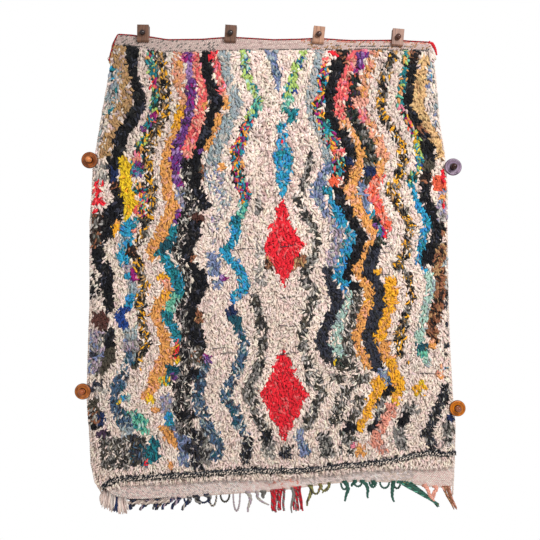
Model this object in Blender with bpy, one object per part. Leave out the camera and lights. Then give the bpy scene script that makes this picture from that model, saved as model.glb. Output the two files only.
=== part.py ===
"""Boucherouite rug hung flat against a wall: four wooden clips hold its heading and four
turned wooden pegs pin its sides. Metres, +Z up, the rug's face towards -Y, the wall plane
at y = 0. The origin is the centre of the back face of the second clip from the left.
"""

import random
from collections import namedtuple
from math import asin, cos, hypot, pi, radians, sin, sqrt

import bmesh
import bpy
import numpy as np
from mathutils import Vector, noise

MM = 0.001

# All sizes below are in millimetres
FIT = 0.3

# Thickness of the cloth in each of its parts
FLATWEAVE_THICK = 5.0
PILE_THICK = 20.0
RIM_THICK = 12.0
LUMP_HEIGHT = 4.5
LUMP_PITCH = 46.0
PILE_STEP = 8.0

# Grid of the cloth
COLUMNS = 40
HEADING_ROWS = 2
FIELD_ROWS = 46
BAND_ROWS = 2

# Rag locks that stand out at the sides
SIDE_INSET = 6.0
LOCK_REACH = (5.0, 9.5)
LOCK_DROOP = (4.0, 9.0)
LOCK_TIP = 0.38
LOCK_TOP = -95.0

# Strip that carries the fringe, parted from the cloth's lower edge
STRIP_DROP = 6.0
STOP_SPACE = 2.0

# How far the cloth's back face stands from the wall
CLIP_DEPTH = 10.3
PEG_DEPTH = 8.0
CLIP_REACH = (60.0, 110.0)
PEG_REACH = (70.0, 112.0)
WAVE_HEIGHT = 2.2
WAVE_WIDTH = 310.0
WAVE_DROP = 640.0
CORNER_CURL = 6.0
CORNER_REACH = (0.0, 190.0)

# Twined binding of the top edge
BINDING_RADIUS = 2.0
TAIL_RADIUS = 3.2

# Clip blocks and their ball-headed knobs
BLOCK_WIDTH = 37.0
BLOCK_HEIGHT = 55.0
BACK_BLOCK = 10.0
FRONT_BLOCK = (15.6, 27.0)
BLOCK_CHAMFER = 4.0
BLOCK_EDGE = 1.0
CLIP_SHANK = 3.0
SHANK_END = 2.0
CLIP_BALL = 9.0
BALL_SET_IN = 2.0
HOLE_PAST = 1.0

# Peg discs and their ball-headed knobs
DISC_BACK = 20.3
DISC_THICK = 9.0
DISC_DISH = 2.6
HUB_RADIUS = 8.0
HUB_THICK = 1.6
PEG_SHANK = 4.2
PEG_BALL = 9.6
PEG_BALL_DEPTH = 42.0

# Facets of the round pieces
DISC_SIDES = 24
BALL_SIDES = 14
BALL_TURNS = 6
HOLE_SIDES = 14

Side = namedtuple("Side", "z left right")
SIDES = (
    Side(-2, -359, 638),
    Side(-28, -379, 640),
    Side(-76, -385, 654),
    Side(-134, -394, 662),
    Side(-208, -408, 669),
    Side(-291, -422, 676),
    Side(-366, -435, 689),
    Side(-433, -446, 696),
    Side(-511, -449, 701),
    Side(-607, -456, 699),
    Side(-870, -456, 704),
    Side(-1032, -462, 710),
    Side(-1177, -465, 718),
    Side(-1261, -459, 726),
    Side(-1383, -452, 723),
    Side(-1434, -440, 721),
    Side(-1473, -419, 719),
    Side(-1514, -407, 719),
)

Edge = namedtuple("Edge", "x z")
TOP_EDGE = (
    Edge(-359, -2),
    Edge(-312, -5),
    Edge(-283, -9),
    Edge(-256, -10),
    Edge(-189, -20),
    Edge(-82, -18),
    Edge(-2, -12),
    Edge(30, -13),
    Edge(143, -20),
    Edge(223, -18),
    Edge(283, -15),
    Edge(307, -17),
    Edge(390, -23),
    Edge(481, -22),
    Edge(538, -21),
    Edge(568, -24),
    Edge(638, -28),
)
HEADING_LINE = (
    Edge(-382, -33),
    Edge(-334, -33),
    Edge(-298, -39),
    Edge(-259, -49),
    Edge(-163, -57),
    Edge(-98, -52),
    Edge(30, -50),
    Edge(223, -48),
    Edge(385, -50),
    Edge(545, -49),
    Edge(641, -50),
)
BOTTOM_EDGE = (
    Edge(-417, -1473),
    Edge(-382, -1492),
    Edge(-334, -1506),
    Edge(-275, -1508),
    Edge(-211, -1503),
    Edge(-49, -1486),
    Edge(30, -1481),
    Edge(127, -1476),
    Edge(223, -1463),
    Edge(320, -1450),
    Edge(401, -1443),
    Edge(545, -1446),
    Edge(594, -1452),
    Edge(635, -1460),
    Edge(719, -1463),
)

# Height of the flat-woven band above the lower edge, by the share of the width
Band = namedtuple("Band", "share height")
BAND = (
    Band(0.0, 16),
    Band(0.03, 32),
    Band(0.08, 62),
    Band(0.25, 56),
    Band(0.42, 50),
    Band(0.56, 38),
    Band(0.7, 34),
    Band(0.85, 54),
    Band(1.0, 74),
)

# How far the back face stands from the wall down the middle, by height
Hang = namedtuple("Hang", "z depth")
HANG = (Hang(0, 10.3), Hang(-70, 10.3), Hang(-260, 7.5), Hang(-900, 7), Hang(-1500, 6))

Clip = namedtuple("Clip", "x z tilt")
CLIPS = (
    Clip(-281, 1, 0.5),
    Clip(0, 0, 4.0),
    Clip(283, -4, 6.0),
    Clip(537, -12, 5.0),
)

Peg = namedtuple("Peg", "x z radius wood ball")
PEGS = (
    Peg(-452, -406, 26.5, (0.50, 0.20, 0.06), (0.47, 0.22, 0.10)),
    Peg(714, -428, 27.5, (0.25, 0.19, 0.26), (0.10, 0.03, 0.02)),
    Peg(-474, -1148, 26.0, (0.44, 0.18, 0.06), (0.28, 0.08, 0.04)),
    Peg(728, -1202, 26.0, (0.53, 0.20, 0.02), (0.30, 0.12, 0.07)),
)

# Bunches of strands: place and width of the root, how many locks, how far they drop,
# how far they lean and curl to the right, and how close their tips gather
Bunch = namedtuple("Bunch", "x width locks drop lean curl gather")
FRINGE_BUNCHES = (
    Bunch(-315, 5, 1, 29, -6, 0, 1.0),
    Bunch(-270, 4, 1, 32, -26, 0, 1.0),
    Bunch(-235, 17, 3, 34, -6, 0, 0.8),
    Bunch(-187, 4, 1, 38, -24, -5, 1.0),
    Bunch(-166, 4, 1, 38, -20, -4, 1.0),
    Bunch(-136, 4, 1, 45, -18, 3, 1.0),
    Bunch(-113, 4, 1, 20, 22, -3, 1.0),
    Bunch(-72, 9, 1, 34, 8, 0, 1.0),
    Bunch(56, 4, 1, 64, -3, 8, 1.0),
    Bunch(82, 3, 1, 45, 38, -16, 1.0),
    Bunch(106, 5, 1, 22, 4, 0, 1.0),
    Bunch(140, 22, 4, 69, 0, 0, 0.9),
    Bunch(166, 15, 3, 72, -1, 0, 0.8),
    Bunch(197, 3, 1, 80, 4, 0, 1.0),
    Bunch(218, 20, 3, 76, 9, -2, 0.8),
    Bunch(258, 4, 1, 68, -14, 3, 1.0),
    Bunch(287, 4, 1, 32, -8, 0, 1.0),
    Bunch(316, 4, 1, 34, -22, 6, 1.0),
    Bunch(367, 4, 1, 67, 3, 10, 1.0),
    Bunch(402, 4, 1, 19, -6, 0, 1.0),
    Bunch(424, 4, 1, 60, 24, 8, 1.0),
    Bunch(458, 4, 1, 18, -2, 0, 1.0),
    Bunch(524, 4, 1, 68, 3, -3, 1.0),
    Bunch(563, 54, 7, 70, 62, 4, 0.62),
    Bunch(622, 4, 1, 52, 30, 0, 1.0),
    Bunch(658, 4, 1, 34, -2, 6, 1.0),
    Bunch(700, 16, 3, 70, 24, -3, 0.9),
)
CORNER_BUNCHES = (Bunch(-376, 70, 11, 46, -2, 0, 1.04),)
LOCK_SPACE = 1.1
DROP_SPREAD = 0.1
STRAND_STEPS = 5
TIP_WIDTH = 0.55
STRAND_THICK = 3.4

# Warp loops: their two roots and how far they drop
Loop = namedtuple("Loop", "left right width drop")
FRINGE_LOOPS = (Loop(-33, -4, 4, 24), Loop(8, 28, 4, 56), Loop(482, 512, 4, 20))
LOOP_STEPS = 8

FRINGE_SPAN = (0.075, 1.0)
CORNER_SPAN = (0.004, 0.068)

# Tails of the binding, past the two upper corners
LEFT_TAIL = (Edge(-390, -87), Edge(-385, -62), Edge(-379, -40), Edge(-373, -18), Edge(-362, -3))
RIGHT_TAIL = (Edge(642, -25), Edge(651, -32), Edge(659, -47), Edge(664, -66))


def clear_scene():
    for thing in list(bpy.data.objects):
        bpy.data.objects.remove(thing, do_unlink=True)


def material(name, colour, roughness):
    made = bpy.data.materials.new(name)
    made.use_nodes = True
    shader = made.node_tree.nodes["Principled BSDF"]
    shader.inputs["Base Color"].default_value = (*colour, 1.0)
    shader.inputs["Roughness"].default_value = roughness
    made.diffuse_color = (*colour, 1.0)
    return made


def add_object(name, data, finish, parent=None):
    thing = bpy.data.objects.new(name, data)
    thing.data.materials.append(finish)
    bpy.context.scene.collection.objects.link(thing)
    thing.parent = parent
    return thing


def mesh_object(name, bm, finish, parent=None):
    bmesh.ops.recalc_face_normals(bm, faces=bm.faces)
    mesh = bpy.data.meshes.new(name)
    bm.to_mesh(mesh)
    bm.free()
    return add_object(name, mesh, finish, parent)


def fade(distance, reach):
    """1 up to the first reach, 0 past the second, smooth between."""
    share = np.clip((reach[1] - distance) / (reach[1] - reach[0]), 0, 1)
    return share * share * (3 - 2 * share)


def mix(a, b, share):
    return a + (b - a) * share


def edge_height(edge, share):
    """Height of an edge at a share of its width."""
    across = mix(edge[0].x, edge[-1].x, share)
    return np.interp(across, [p.x for p in edge], [p.z for p in edge])


def side_places(z):
    """Left and right end of the cloth at a height."""
    heights = [-side.z for side in SIDES]
    left = np.interp(-z, heights, [side.left for side in SIDES])
    right = np.interp(-z, heights, [side.right for side in SIDES])
    return left + SIDE_INSET, right - SIDE_INSET


def clip_hold(x, z):
    """1 where a clip holds the cloth, 0 away from all of them."""
    return max(fade(hypot(x - clip.x, z - clip.z), CLIP_REACH) for clip in CLIPS)


def peg_hold(x, z):
    """1 where a peg presses the cloth, 0 away from all of them."""
    return max(fade(hypot(x - peg.x, z - peg.z), PEG_REACH) for peg in PEGS)


def back_depth(x, z):
    """How far the cloth's back face stands from the wall."""
    depth = np.interp(-z, [-h.z for h in HANG], [h.depth for h in HANG])
    depth += WAVE_HEIGHT * sin(2 * pi * x / WAVE_WIDTH) * cos(2 * pi * z / WAVE_DROP)
    corner = hypot(x - BOTTOM_EDGE[0].x, z - BOTTOM_EDGE[0].z)
    depth += CORNER_CURL * fade(corner, CORNER_REACH)
    depth = mix(depth, PEG_DEPTH, peg_hold(x, z))
    return mix(depth, CLIP_DEPTH, clip_hold(x, z))


def row_heights(share):
    """Heights of the grid's rows down one column of the cloth."""
    top = edge_height(TOP_EDGE, share)
    heading = edge_height(HEADING_LINE, share)
    outline = edge_height(BOTTOM_EDGE, share)
    band = outline + np.interp(share, [b.share for b in BAND], [b.height for b in BAND])
    upper = [mix(top, heading, k / HEADING_ROWS) for k in range(HEADING_ROWS + 1)]
    first, last = heading - PILE_STEP, band + PILE_STEP
    field = [mix(first, last, k / FIELD_ROWS) for k in range(FIELD_ROWS + 1)]
    bottom = outline + STRIP_DROP + FIT
    lower = [mix(band, bottom, k / BAND_ROWS) for k in range(BAND_ROWS + 1)]
    return upper + field + lower


def is_pile(row):
    return HEADING_ROWS < row <= HEADING_ROWS + FIELD_ROWS + 1


def thickness(column, row, x, z):
    """Lumpy in the pile, thinner at its rim and under the pegs, even in the flat weave."""
    if not is_pile(row):
        return FLATWEAVE_THICK
    lump = noise.noise(Vector((x / LUMP_PITCH, z / LUMP_PITCH, 3.7)))
    thick = PILE_THICK + LUMP_HEIGHT * 2 * lump
    if column in (0, COLUMNS):
        thick = RIM_THICK + LUMP_HEIGHT / 2 * lump
    return mix(thick, RIM_THICK, peg_hold(x, z))


def cloth_grid():
    """Front and back points of the cloth, by column and row, in millimetres."""
    front, back = [], []
    for column in range(COLUMNS + 1):
        share = column / COLUMNS
        heights = row_heights(share)
        front.append([])
        back.append([])
        for row, z in enumerate(heights):
            left, right = side_places(z)
            x = mix(left, right, share)
            depth = back_depth(x, z)
            back[-1].append((x, -depth, z))
            front[-1].append((x, -depth - thickness(column, row, x, z), z))
    return front, back


def cell_outline(column, row, step, present):
    """Places round one cell of the grid, with the half-way ones that are present."""
    right, down = column + step, row + step
    half = step / 2
    ring = (
        (column, row),
        (column, row + half),
        (column, down),
        (column + half, down),
        (right, down),
        (right, row + half),
        (right, row),
        (column + half, row),
    )
    return [place for place in ring if place in present]


def add_rim_locks(bm, faces, middle, rng):
    """Draws each face of the rim out into a drooping rag lock."""
    grown = bmesh.ops.extrude_discrete_faces(bm, faces=faces)["faces"]
    for face in grown:
        centre = face.calc_center_median()
        outward = 1 if centre.x > middle else -1
        shift = Vector((outward * rng.uniform(*LOCK_REACH), 0, -rng.uniform(*LOCK_DROOP))) * MM
        for vert in face.verts:
            vert.co = centre + (vert.co - centre) * LOCK_TIP + shift


def rug(front, back, finish):
    """Full grid on the face, half as fine on the back, and locks round the sides."""
    bm = bmesh.new()
    rows = len(front[0]) - 1
    places = [(c, r) for c in range(COLUMNS + 1) for r in range(rows + 1)]
    face_verts = {p: bm.verts.new(Vector(front[p[0]][p[1]]) * MM) for p in places}
    edge_or_even = [
        (c, r)
        for c, r in places
        if c in (0, COLUMNS) or r in (0, rows) or (c % 2 == 0 and r % 2 == 0)
    ]
    back_verts = {p: bm.verts.new(Vector(back[p[0]][p[1]]) * MM) for p in edge_or_even}
    for c, r in places:
        if c < COLUMNS and r < rows:
            ring = cell_outline(c, r, 1, face_verts)
            bm.faces.new([face_verts[p] for p in ring])
        if c < COLUMNS and r < rows and c % 2 == 0 and r % 2 == 0:
            ring = cell_outline(c, r, 2, back_verts)
            bm.faces.new([back_verts[p] for p in reversed(ring)])
    border = [(0, r) for r in range(rows)] + [(c, rows) for c in range(COLUMNS)]
    border += [(COLUMNS, r) for r in range(rows, 0, -1)] + [(c, 0) for c in range(COLUMNS, 0, -1)]
    locks = []
    for here, after in zip(border, border[1:] + border[:1]):
        corners = (face_verts[after], face_verts[here], back_verts[here], back_verts[after])
        wall = bm.faces.new(corners)
        centre = wall.calc_center_median() / MM
        on_side = here[0] == after[0] and is_pile(here[1]) and is_pile(after[1])
        if on_side and centre.z < LOCK_TOP and peg_hold(centre.x, centre.z) < 1:
            locks.append(wall)
    bmesh.ops.recalc_face_normals(bm, faces=bm.faces)
    middle = (SIDES[0].left + SIDES[0].right) / 2 * MM
    add_rim_locks(bm, locks, middle, random.Random(5))
    return mesh_object("rug", bm, finish)


def lock_routes(bunch, rng):
    """Root place, width and route of each lock of a bunch, as steps right and down."""
    pitch = bunch.width / bunch.locks
    width = pitch - LOCK_SPACE if bunch.locks > 1 else bunch.width
    for lock in range(bunch.locks):
        offset = (lock - (bunch.locks - 1) / 2) * pitch
        drop = bunch.drop * (1 - rng.uniform(0, DROP_SPREAD))
        lean = bunch.lean + offset * (bunch.gather - 1)
        route = []
        for step in range(1, STRAND_STEPS + 1):
            share = step / STRAND_STEPS
            route.append((lean * share + bunch.curl * sin(pi * share), -drop * share))
        yield bunch.x + offset, width, route


def strand_ring(place, ahead, width, thick, depth):
    """Four corners across a strand that runs in the plane of the cloth."""
    across = Vector((-ahead[1], ahead[0])).normalized() * width / 2
    left = (place[0] - across.x, place[1] - across.y)
    right = (place[0] + across.x, place[1] + across.y)
    rear, face = -depth, -depth - thick
    corners = ((left, rear), (right, rear), (right, face), (left, face))
    return [Vector((p[0], y, p[1])) * MM for p, y in corners]


def grow_strand(bm, face, points, width, depth, taper):
    """Extrudes a root face along points in the plane of the cloth and returns its end face."""
    for k, place in enumerate(points[1:], 1):
        ahead = points[min(k + 1, len(points) - 1)]
        behind = points[k - 1]
        run = (ahead[0] - behind[0], ahead[1] - behind[1])
        size = width * mix(1.0, taper, k / (len(points) - 1))
        face = bmesh.ops.extrude_discrete_faces(bm, faces=[face])["faces"][0]
        corners = strand_ring(place, run, size, STRAND_THICK, depth)
        for vert, corner in zip(face.verts, corners):
            vert.co = corner
    return face


def close_loop(bm, end, root):
    """Joins a strand's end face, which runs upwards, to the root face that it meets."""
    ring = list(end.verts)
    left_rear, right_rear, right_face, left_face = root.verts
    seat = [right_rear, left_rear, left_face, right_face]
    bmesh.ops.delete(bm, geom=[end, root], context="FACES_ONLY")
    for k in range(4):
        after = (k + 1) % 4
        bm.faces.new((ring[k], ring[after], seat[after], seat[k]))


def hanging_strip(name, edge, span, bunches, loops, finish, rng):
    """Narrow strip below the cloth's lower edge, with strands and loops grown from it."""
    xs, backs, heights = (np.array(values) for values in zip(*edge))
    shares = np.linspace(0, 1, len(xs))
    ends = [float(np.interp(share, shares, xs)) for share in span]
    strands = [item for bunch in bunches for item in lock_routes(bunch, rng)]
    roots = [(x, width) for x, width, _ in strands]
    roots += [(x, loop.width) for loop in loops for x in (loop.left, loop.right)]
    stops = set(ends) | {x + side * width / 2 for x, width in roots for side in (-1, 1)}
    for x in xs:
        if ends[0] < x < ends[1] and all(abs(x - stop) > STOP_SPACE for stop in stops):
            stops.add(float(x))
    bm = bmesh.new()
    rings = []
    for x in sorted(stops):
        top = float(np.interp(x, xs, heights)) - FIT
        rear = float(np.interp(x, xs, backs))
        face, foot = rear - FLATWEAVE_THICK, top - STRIP_DROP
        corners = ((rear, top), (face, top), (face, foot), (rear, foot))
        rings.append([bm.verts.new(Vector((x, y, z)) * MM) for y, z in corners])
    bottoms = {}
    for a, b in zip(rings, rings[1:]):
        bm.faces.new((a[0], b[0], b[1], a[1]))
        bm.faces.new((a[1], b[1], b[2], a[2]))
        bm.faces.new((a[0], a[3], b[3], b[0]))
        centre = (a[3].co.x + b[3].co.x) / 2 / MM
        bottoms[round(centre, 1)] = bm.faces.new((a[3], b[3], b[2], a[2]))
    bm.faces.new(rings[0])
    bm.faces.new(reversed(rings[-1]))

    def root_at(x):
        root = bottoms[min(bottoms, key=lambda centre: abs(centre - x))]
        place = root.calc_center_median() / MM
        return root, place.z, -place.y - STRAND_THICK / 2

    for x, width, route in strands:
        root, z, depth = root_at(x)
        points = [(x, z)] + [(x + right, z + down) for right, down in route]
        grow_strand(bm, root, points, width, depth, TIP_WIDTH)
    for loop in loops:
        root, z, depth = root_at(loop.left)
        middle, half = (loop.left + loop.right) / 2, (loop.right - loop.left) / 2
        turns = [pi * k / LOOP_STEPS for k in range(LOOP_STEPS)]
        points = [(middle - half * cos(turn), z - loop.drop * sin(turn)) for turn in turns]
        end = grow_strand(bm, root, points, loop.width, depth, 1.0)
        close_loop(bm, end, root_at(loop.right)[0])
    return mesh_object(name, bm, finish)


def top_binding(edge, finish):
    """Round cord along the top edge, its left tail thin and its right tail thick."""
    lift = BINDING_RADIUS + FIT
    middle = [(x, y - FLATWEAVE_THICK / 2, z + lift, 1.0) for x, y, z in edge]
    depth = middle[0][1]
    left = [(p.x, depth, p.z, mix(0.6, 1.0, k / 4)) for k, p in enumerate(LEFT_TAIL)]
    depth = middle[-1][1]
    bulge = TAIL_RADIUS / BINDING_RADIUS
    sizes = (1.0, bulge, bulge, 0.5)
    right = [(p.x, depth, p.z, size) for p, size in zip(RIGHT_TAIL, sizes)]
    route = left + middle + right
    curve = bpy.data.curves.new("top_binding", "CURVE")
    curve.dimensions = "3D"
    curve.bevel_depth = BINDING_RADIUS * MM
    curve.bevel_resolution = 1
    curve.use_fill_caps = True
    spline = curve.splines.new("POLY")
    spline.points.add(len(route) - 1)
    for point, (x, y, z, size) in zip(spline.points, route):
        point.co = (x * MM, y * MM, z * MM, 1)
        point.radius = size
    return add_object("top_binding", curve, finish)


def turned(name, profile, sides, finish, parent):
    """Solid of revolution about Y from (depth, radius) points, which start and end on the
    axis or, on a piece with a bore, are joined from last to first."""
    bored = profile[0][1] > 0
    bm = bmesh.new()
    verts = [bm.verts.new(Vector((radius, -depth, 0)) * MM) for depth, radius in profile]
    pairs = list(zip(verts, verts[1:]))
    if bored:
        pairs.append((verts[-1], verts[0]))
    edges = [bm.edges.new(pair) for pair in pairs]
    bmesh.ops.spin(
        bm,
        geom=verts + edges,
        cent=(0, 0, 0),
        axis=(0, 1, 0),
        angle=2 * pi,
        steps=sides,
        use_merge=True,
    )
    bmesh.ops.remove_doubles(bm, verts=bm.verts, dist=1e-6)
    piece = mesh_object(name, bm, finish, parent)
    piece.data.shade_smooth()
    piece.data.set_sharp_from_angle(angle=radians(35))
    return piece


def ball_profile(centre, radius, neck):
    """Points from a neck of the given radius over a ball to the axis."""
    start = pi - asin(neck / radius)
    angles = [start * (1 - k / BALL_TURNS) for k in range(BALL_TURNS)]
    points = [(centre + radius * cos(angle), radius * sin(angle)) for angle in angles]
    return points + [(centre + radius, 0.0)]


def block(name, outline, finish, parent):
    """Block of wood with its (depth, height) outline drawn across its width, edges eased."""
    bm = bmesh.new()
    half = BLOCK_WIDTH / 2
    verts = [bm.verts.new(Vector((-half, -depth, z)) * MM) for depth, z in outline]
    side = bm.faces.new(verts)
    grown = bmesh.ops.extrude_face_region(bm, geom=[side])["geom"]
    moved = [item for item in grown if isinstance(item, bmesh.types.BMVert)]
    bmesh.ops.translate(bm, verts=moved, vec=(BLOCK_WIDTH * MM, 0, 0))
    piece = mesh_object(name, bm, finish, parent)
    ease = piece.modifiers.new("eased edges", "BEVEL")
    ease.width = BLOCK_EDGE * MM
    ease.segments = 2
    ease.limit_method = "ANGLE"
    ease.angle_limit = radians(50)
    return piece


def drill(piece, depths, radius, parent):
    """Cuts a round hole along Y between two depths."""
    length = depths[1] - depths[0]
    bpy.ops.mesh.primitive_cylinder_add(
        vertices=HOLE_SIDES, radius=radius * MM, depth=length * MM
    )
    cutter = bpy.context.object
    cutter.name = piece.name + "_hole"
    cutter.rotation_euler = (pi / 2, 0, 0)
    cutter.location = (0, -sum(depths) / 2 * MM, 0)
    cutter.parent = parent
    cutter.hide_render = True
    cutter.display_type = "WIRE"
    cut = piece.modifiers.new("hole", "BOOLEAN")
    cut.operation = "DIFFERENCE"
    cut.object = cutter


def empty(name, place, tilt=0.0):
    """Empty on the wall plane that carries one fixing, leaning clockwise by its tilt."""
    seat = bpy.data.objects.new(name, None)
    seat.location = Vector((place.x, 0, place.z)) * MM
    seat.rotation_euler = (0, radians(tilt), 0)
    bpy.context.scene.collection.objects.link(seat)
    return seat


def make_clip(number, place, wood, dark):
    """Back block on the wall, front block over the heading, and the knob through both."""
    seat = empty(f"clip_{number}", place, place.tilt)
    top = BLOCK_HEIGHT / 2
    near, far = FRONT_BLOCK
    rear_outline = ((0, top), (BACK_BLOCK, top), (BACK_BLOCK, -top), (0, -top))
    face_outline = (
        (near, top),
        (far, top),
        (far, -top + BLOCK_CHAMFER),
        (far - BLOCK_CHAMFER, -top),
        (near, -top),
    )
    hole = CLIP_SHANK + FIT
    rear = block(f"clip_back_{number}", rear_outline, wood, seat)
    drill(rear, (SHANK_END, BACK_BLOCK + HOLE_PAST), hole, seat)
    face = block(f"clip_front_{number}", face_outline, wood, seat)
    drill(face, (near - HOLE_PAST, far + HOLE_PAST), hole, seat)
    tip, seated = SHANK_END + FIT, far + FIT
    centre = seated + CLIP_BALL - BALL_SET_IN
    neck = sqrt(CLIP_BALL**2 - (centre - seated) ** 2)
    shank = [(tip, 0), (tip, CLIP_SHANK), (seated, CLIP_SHANK)]
    profile = shank + ball_profile(centre, CLIP_BALL, neck)
    turned(f"clip_knob_{number}", profile, BALL_SIDES, dark, seat)


def make_peg(number, place):
    """Dished disc over the side of the pile, on a ball-headed knob beside the cloth."""
    seat = empty(f"peg_{number}", place)
    wood = material(f"peg wood {number}", place.wood, 0.42)
    ball = material(f"peg ball {number}", place.ball, 0.25)
    bore, rim = PEG_SHANK + FIT, place.radius
    front = DISC_BACK + DISC_THICK
    dish = front - DISC_DISH
    disc = (
        (DISC_BACK, bore),
        (DISC_BACK, rim - 2.0),
        (DISC_BACK + 2.5, rim),
        (front - 2.0, rim - 0.6),
        (front, rim - 3.5),
        (front - 0.8, rim - 9.0),
        (dish, HUB_RADIUS + 2.0),
        (dish, bore),
    )
    turned(f"peg_disc_{number}", disc, DISC_SIDES, wood, seat)
    hub, neck = dish + FIT, PEG_SHANK + 0.4
    collar = [(hub, HUB_RADIUS), (hub + HUB_THICK, HUB_RADIUS), (hub + 2 * HUB_THICK, neck)]
    shank = [(0, 0), (0, PEG_SHANK), (hub, PEG_SHANK)]
    profile = shank + collar + ball_profile(PEG_BALL_DEPTH, PEG_BALL, neck)
    turned(f"peg_knob_{number}", profile, BALL_SIDES, ball, seat)


def main():
    clear_scene()
    cloth = material("rag pile", (0.42, 0.34, 0.28), 0.95)
    twine = material("twined binding", (0.42, 0.07, 0.07), 0.8)
    yarn = material("fringe yarn", (0.30, 0.36, 0.24), 0.9)
    rags = material("tassel rags", (0.55, 0.48, 0.42), 0.95)
    walnut = material("clip wood", (0.19, 0.10, 0.065), 0.5)
    dark = material("dark ball head", (0.030, 0.018, 0.018), 0.2)
    front, back = cloth_grid()
    rug(front, back, cloth)
    top = [column[0] for column in back]
    bottom = [column[-1] for column in back]
    top_binding(top, twine)
    rng = random.Random(11)
    hanging_strip("fringe", bottom, FRINGE_SPAN, FRINGE_BUNCHES, FRINGE_LOOPS, yarn, rng)
    hanging_strip("corner_tassel", bottom, CORNER_SPAN, CORNER_BUNCHES, (), rags, rng)
    for number, place in enumerate(CLIPS, 1):
        make_clip(number, place, walnut, dark)
    for number, place in enumerate(PEGS, 1):
        make_peg(number, place)


main()
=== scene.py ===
"""Looks of a boucherouite rug that hangs on a wall by wooden clips and wooden pegs.

The cloth is a woven ground with a pile of cotton and wool rag strips, flat woven at both
ends. Lengths are in millimetres here, and MM turns them into Blender's metres.
"""

import random
from collections import namedtuple
from math import asin, cos, pi, radians, sin, sqrt

import bpy
import numpy as np
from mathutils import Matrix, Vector
from mathutils.bvhtree import BVHTree


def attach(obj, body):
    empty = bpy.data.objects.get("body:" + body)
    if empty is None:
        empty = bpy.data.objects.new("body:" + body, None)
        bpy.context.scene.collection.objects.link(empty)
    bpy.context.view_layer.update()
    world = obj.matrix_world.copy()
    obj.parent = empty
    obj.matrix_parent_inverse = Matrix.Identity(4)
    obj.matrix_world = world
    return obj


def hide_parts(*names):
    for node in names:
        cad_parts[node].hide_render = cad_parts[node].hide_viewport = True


bl_info = {
    "name": "Boucherouite rug",
    "version": (1, 0, 0),
    "blender": (4, 5, 0),
    "location": "View3D > Sidebar > Rug",
    "description": "Rag pile, weave, fringe and fixings of a hanging boucherouite rug",
    "category": "Add Mesh",
}

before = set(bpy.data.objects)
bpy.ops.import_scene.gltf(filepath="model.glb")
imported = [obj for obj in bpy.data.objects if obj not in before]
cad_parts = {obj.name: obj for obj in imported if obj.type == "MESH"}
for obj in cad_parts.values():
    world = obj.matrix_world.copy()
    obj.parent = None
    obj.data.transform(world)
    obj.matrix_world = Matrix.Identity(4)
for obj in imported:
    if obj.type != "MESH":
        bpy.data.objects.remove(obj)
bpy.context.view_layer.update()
MM = 0.001

# Outline of the cloth: heights with the left and right ends of the cloth there
SIDES = (
    (-2, -359, 638), (-28, -379, 640), (-76, -385, 654), (-134, -394, 662),
    (-208, -408, 669), (-291, -422, 676), (-366, -435, 689), (-433, -446, 696),
    (-511, -449, 701), (-607, -456, 699), (-870, -456, 704), (-1032, -462, 710),
    (-1177, -465, 718), (-1261, -459, 726), (-1383, -452, 723), (-1434, -440, 721),
    (-1473, -419, 719), (-1514, -407, 719),
)
SIDE_INSET = 6.0
TOP_INSET = -4.0
CLOTH_WIDTH = 1120.0
# Places along the upper edge, the lower line of the heading and the lower edge
TOP_EDGE = (
    (-359, -2), (-312, -5), (-283, -9), (-256, -10), (-189, -20), (-82, -18), (-2, -12),
    (30, -13), (143, -20), (223, -18), (283, -15), (307, -17), (390, -23), (481, -22),
    (538, -21), (568, -24), (638, -28),
)
HEADING_LINE = (
    (-382, -33), (-334, -33), (-298, -39), (-259, -49), (-163, -57), (-98, -52),
    (30, -50), (223, -48), (385, -50), (545, -49), (641, -50),
)
BOTTOM_EDGE = (
    (-417, -1473), (-382, -1492), (-334, -1506), (-275, -1508), (-211, -1503),
    (-49, -1486), (30, -1481), (127, -1476), (223, -1463), (320, -1450), (401, -1443),
    (545, -1446), (594, -1452), (635, -1460), (719, -1463),
)
# Height of the flat-woven band above the lower edge, by the share of the width
BAND = (
    (0.0, 16), (0.03, 32), (0.08, 62), (0.25, 56), (0.42, 50), (0.56, 38), (0.7, 34),
    (0.85, 54), (1.0, 74),
)
STRIP_DROP = 6.3
FLATWEAVE_THICK = 5.0

Clip = namedtuple("Clip", "x z")
CLIPS = (Clip(-281, 1), Clip(0, 0), Clip(283, -4), Clip(537, -12))
Peg = namedtuple("Peg", "x z radius")
PEGS = (
    Peg(-452, -406, 26.5),
    Peg(714, -428, 27.5),
    Peg(-474, -1148, 26.0),
    Peg(728, -1202, 26.0),
)

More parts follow.
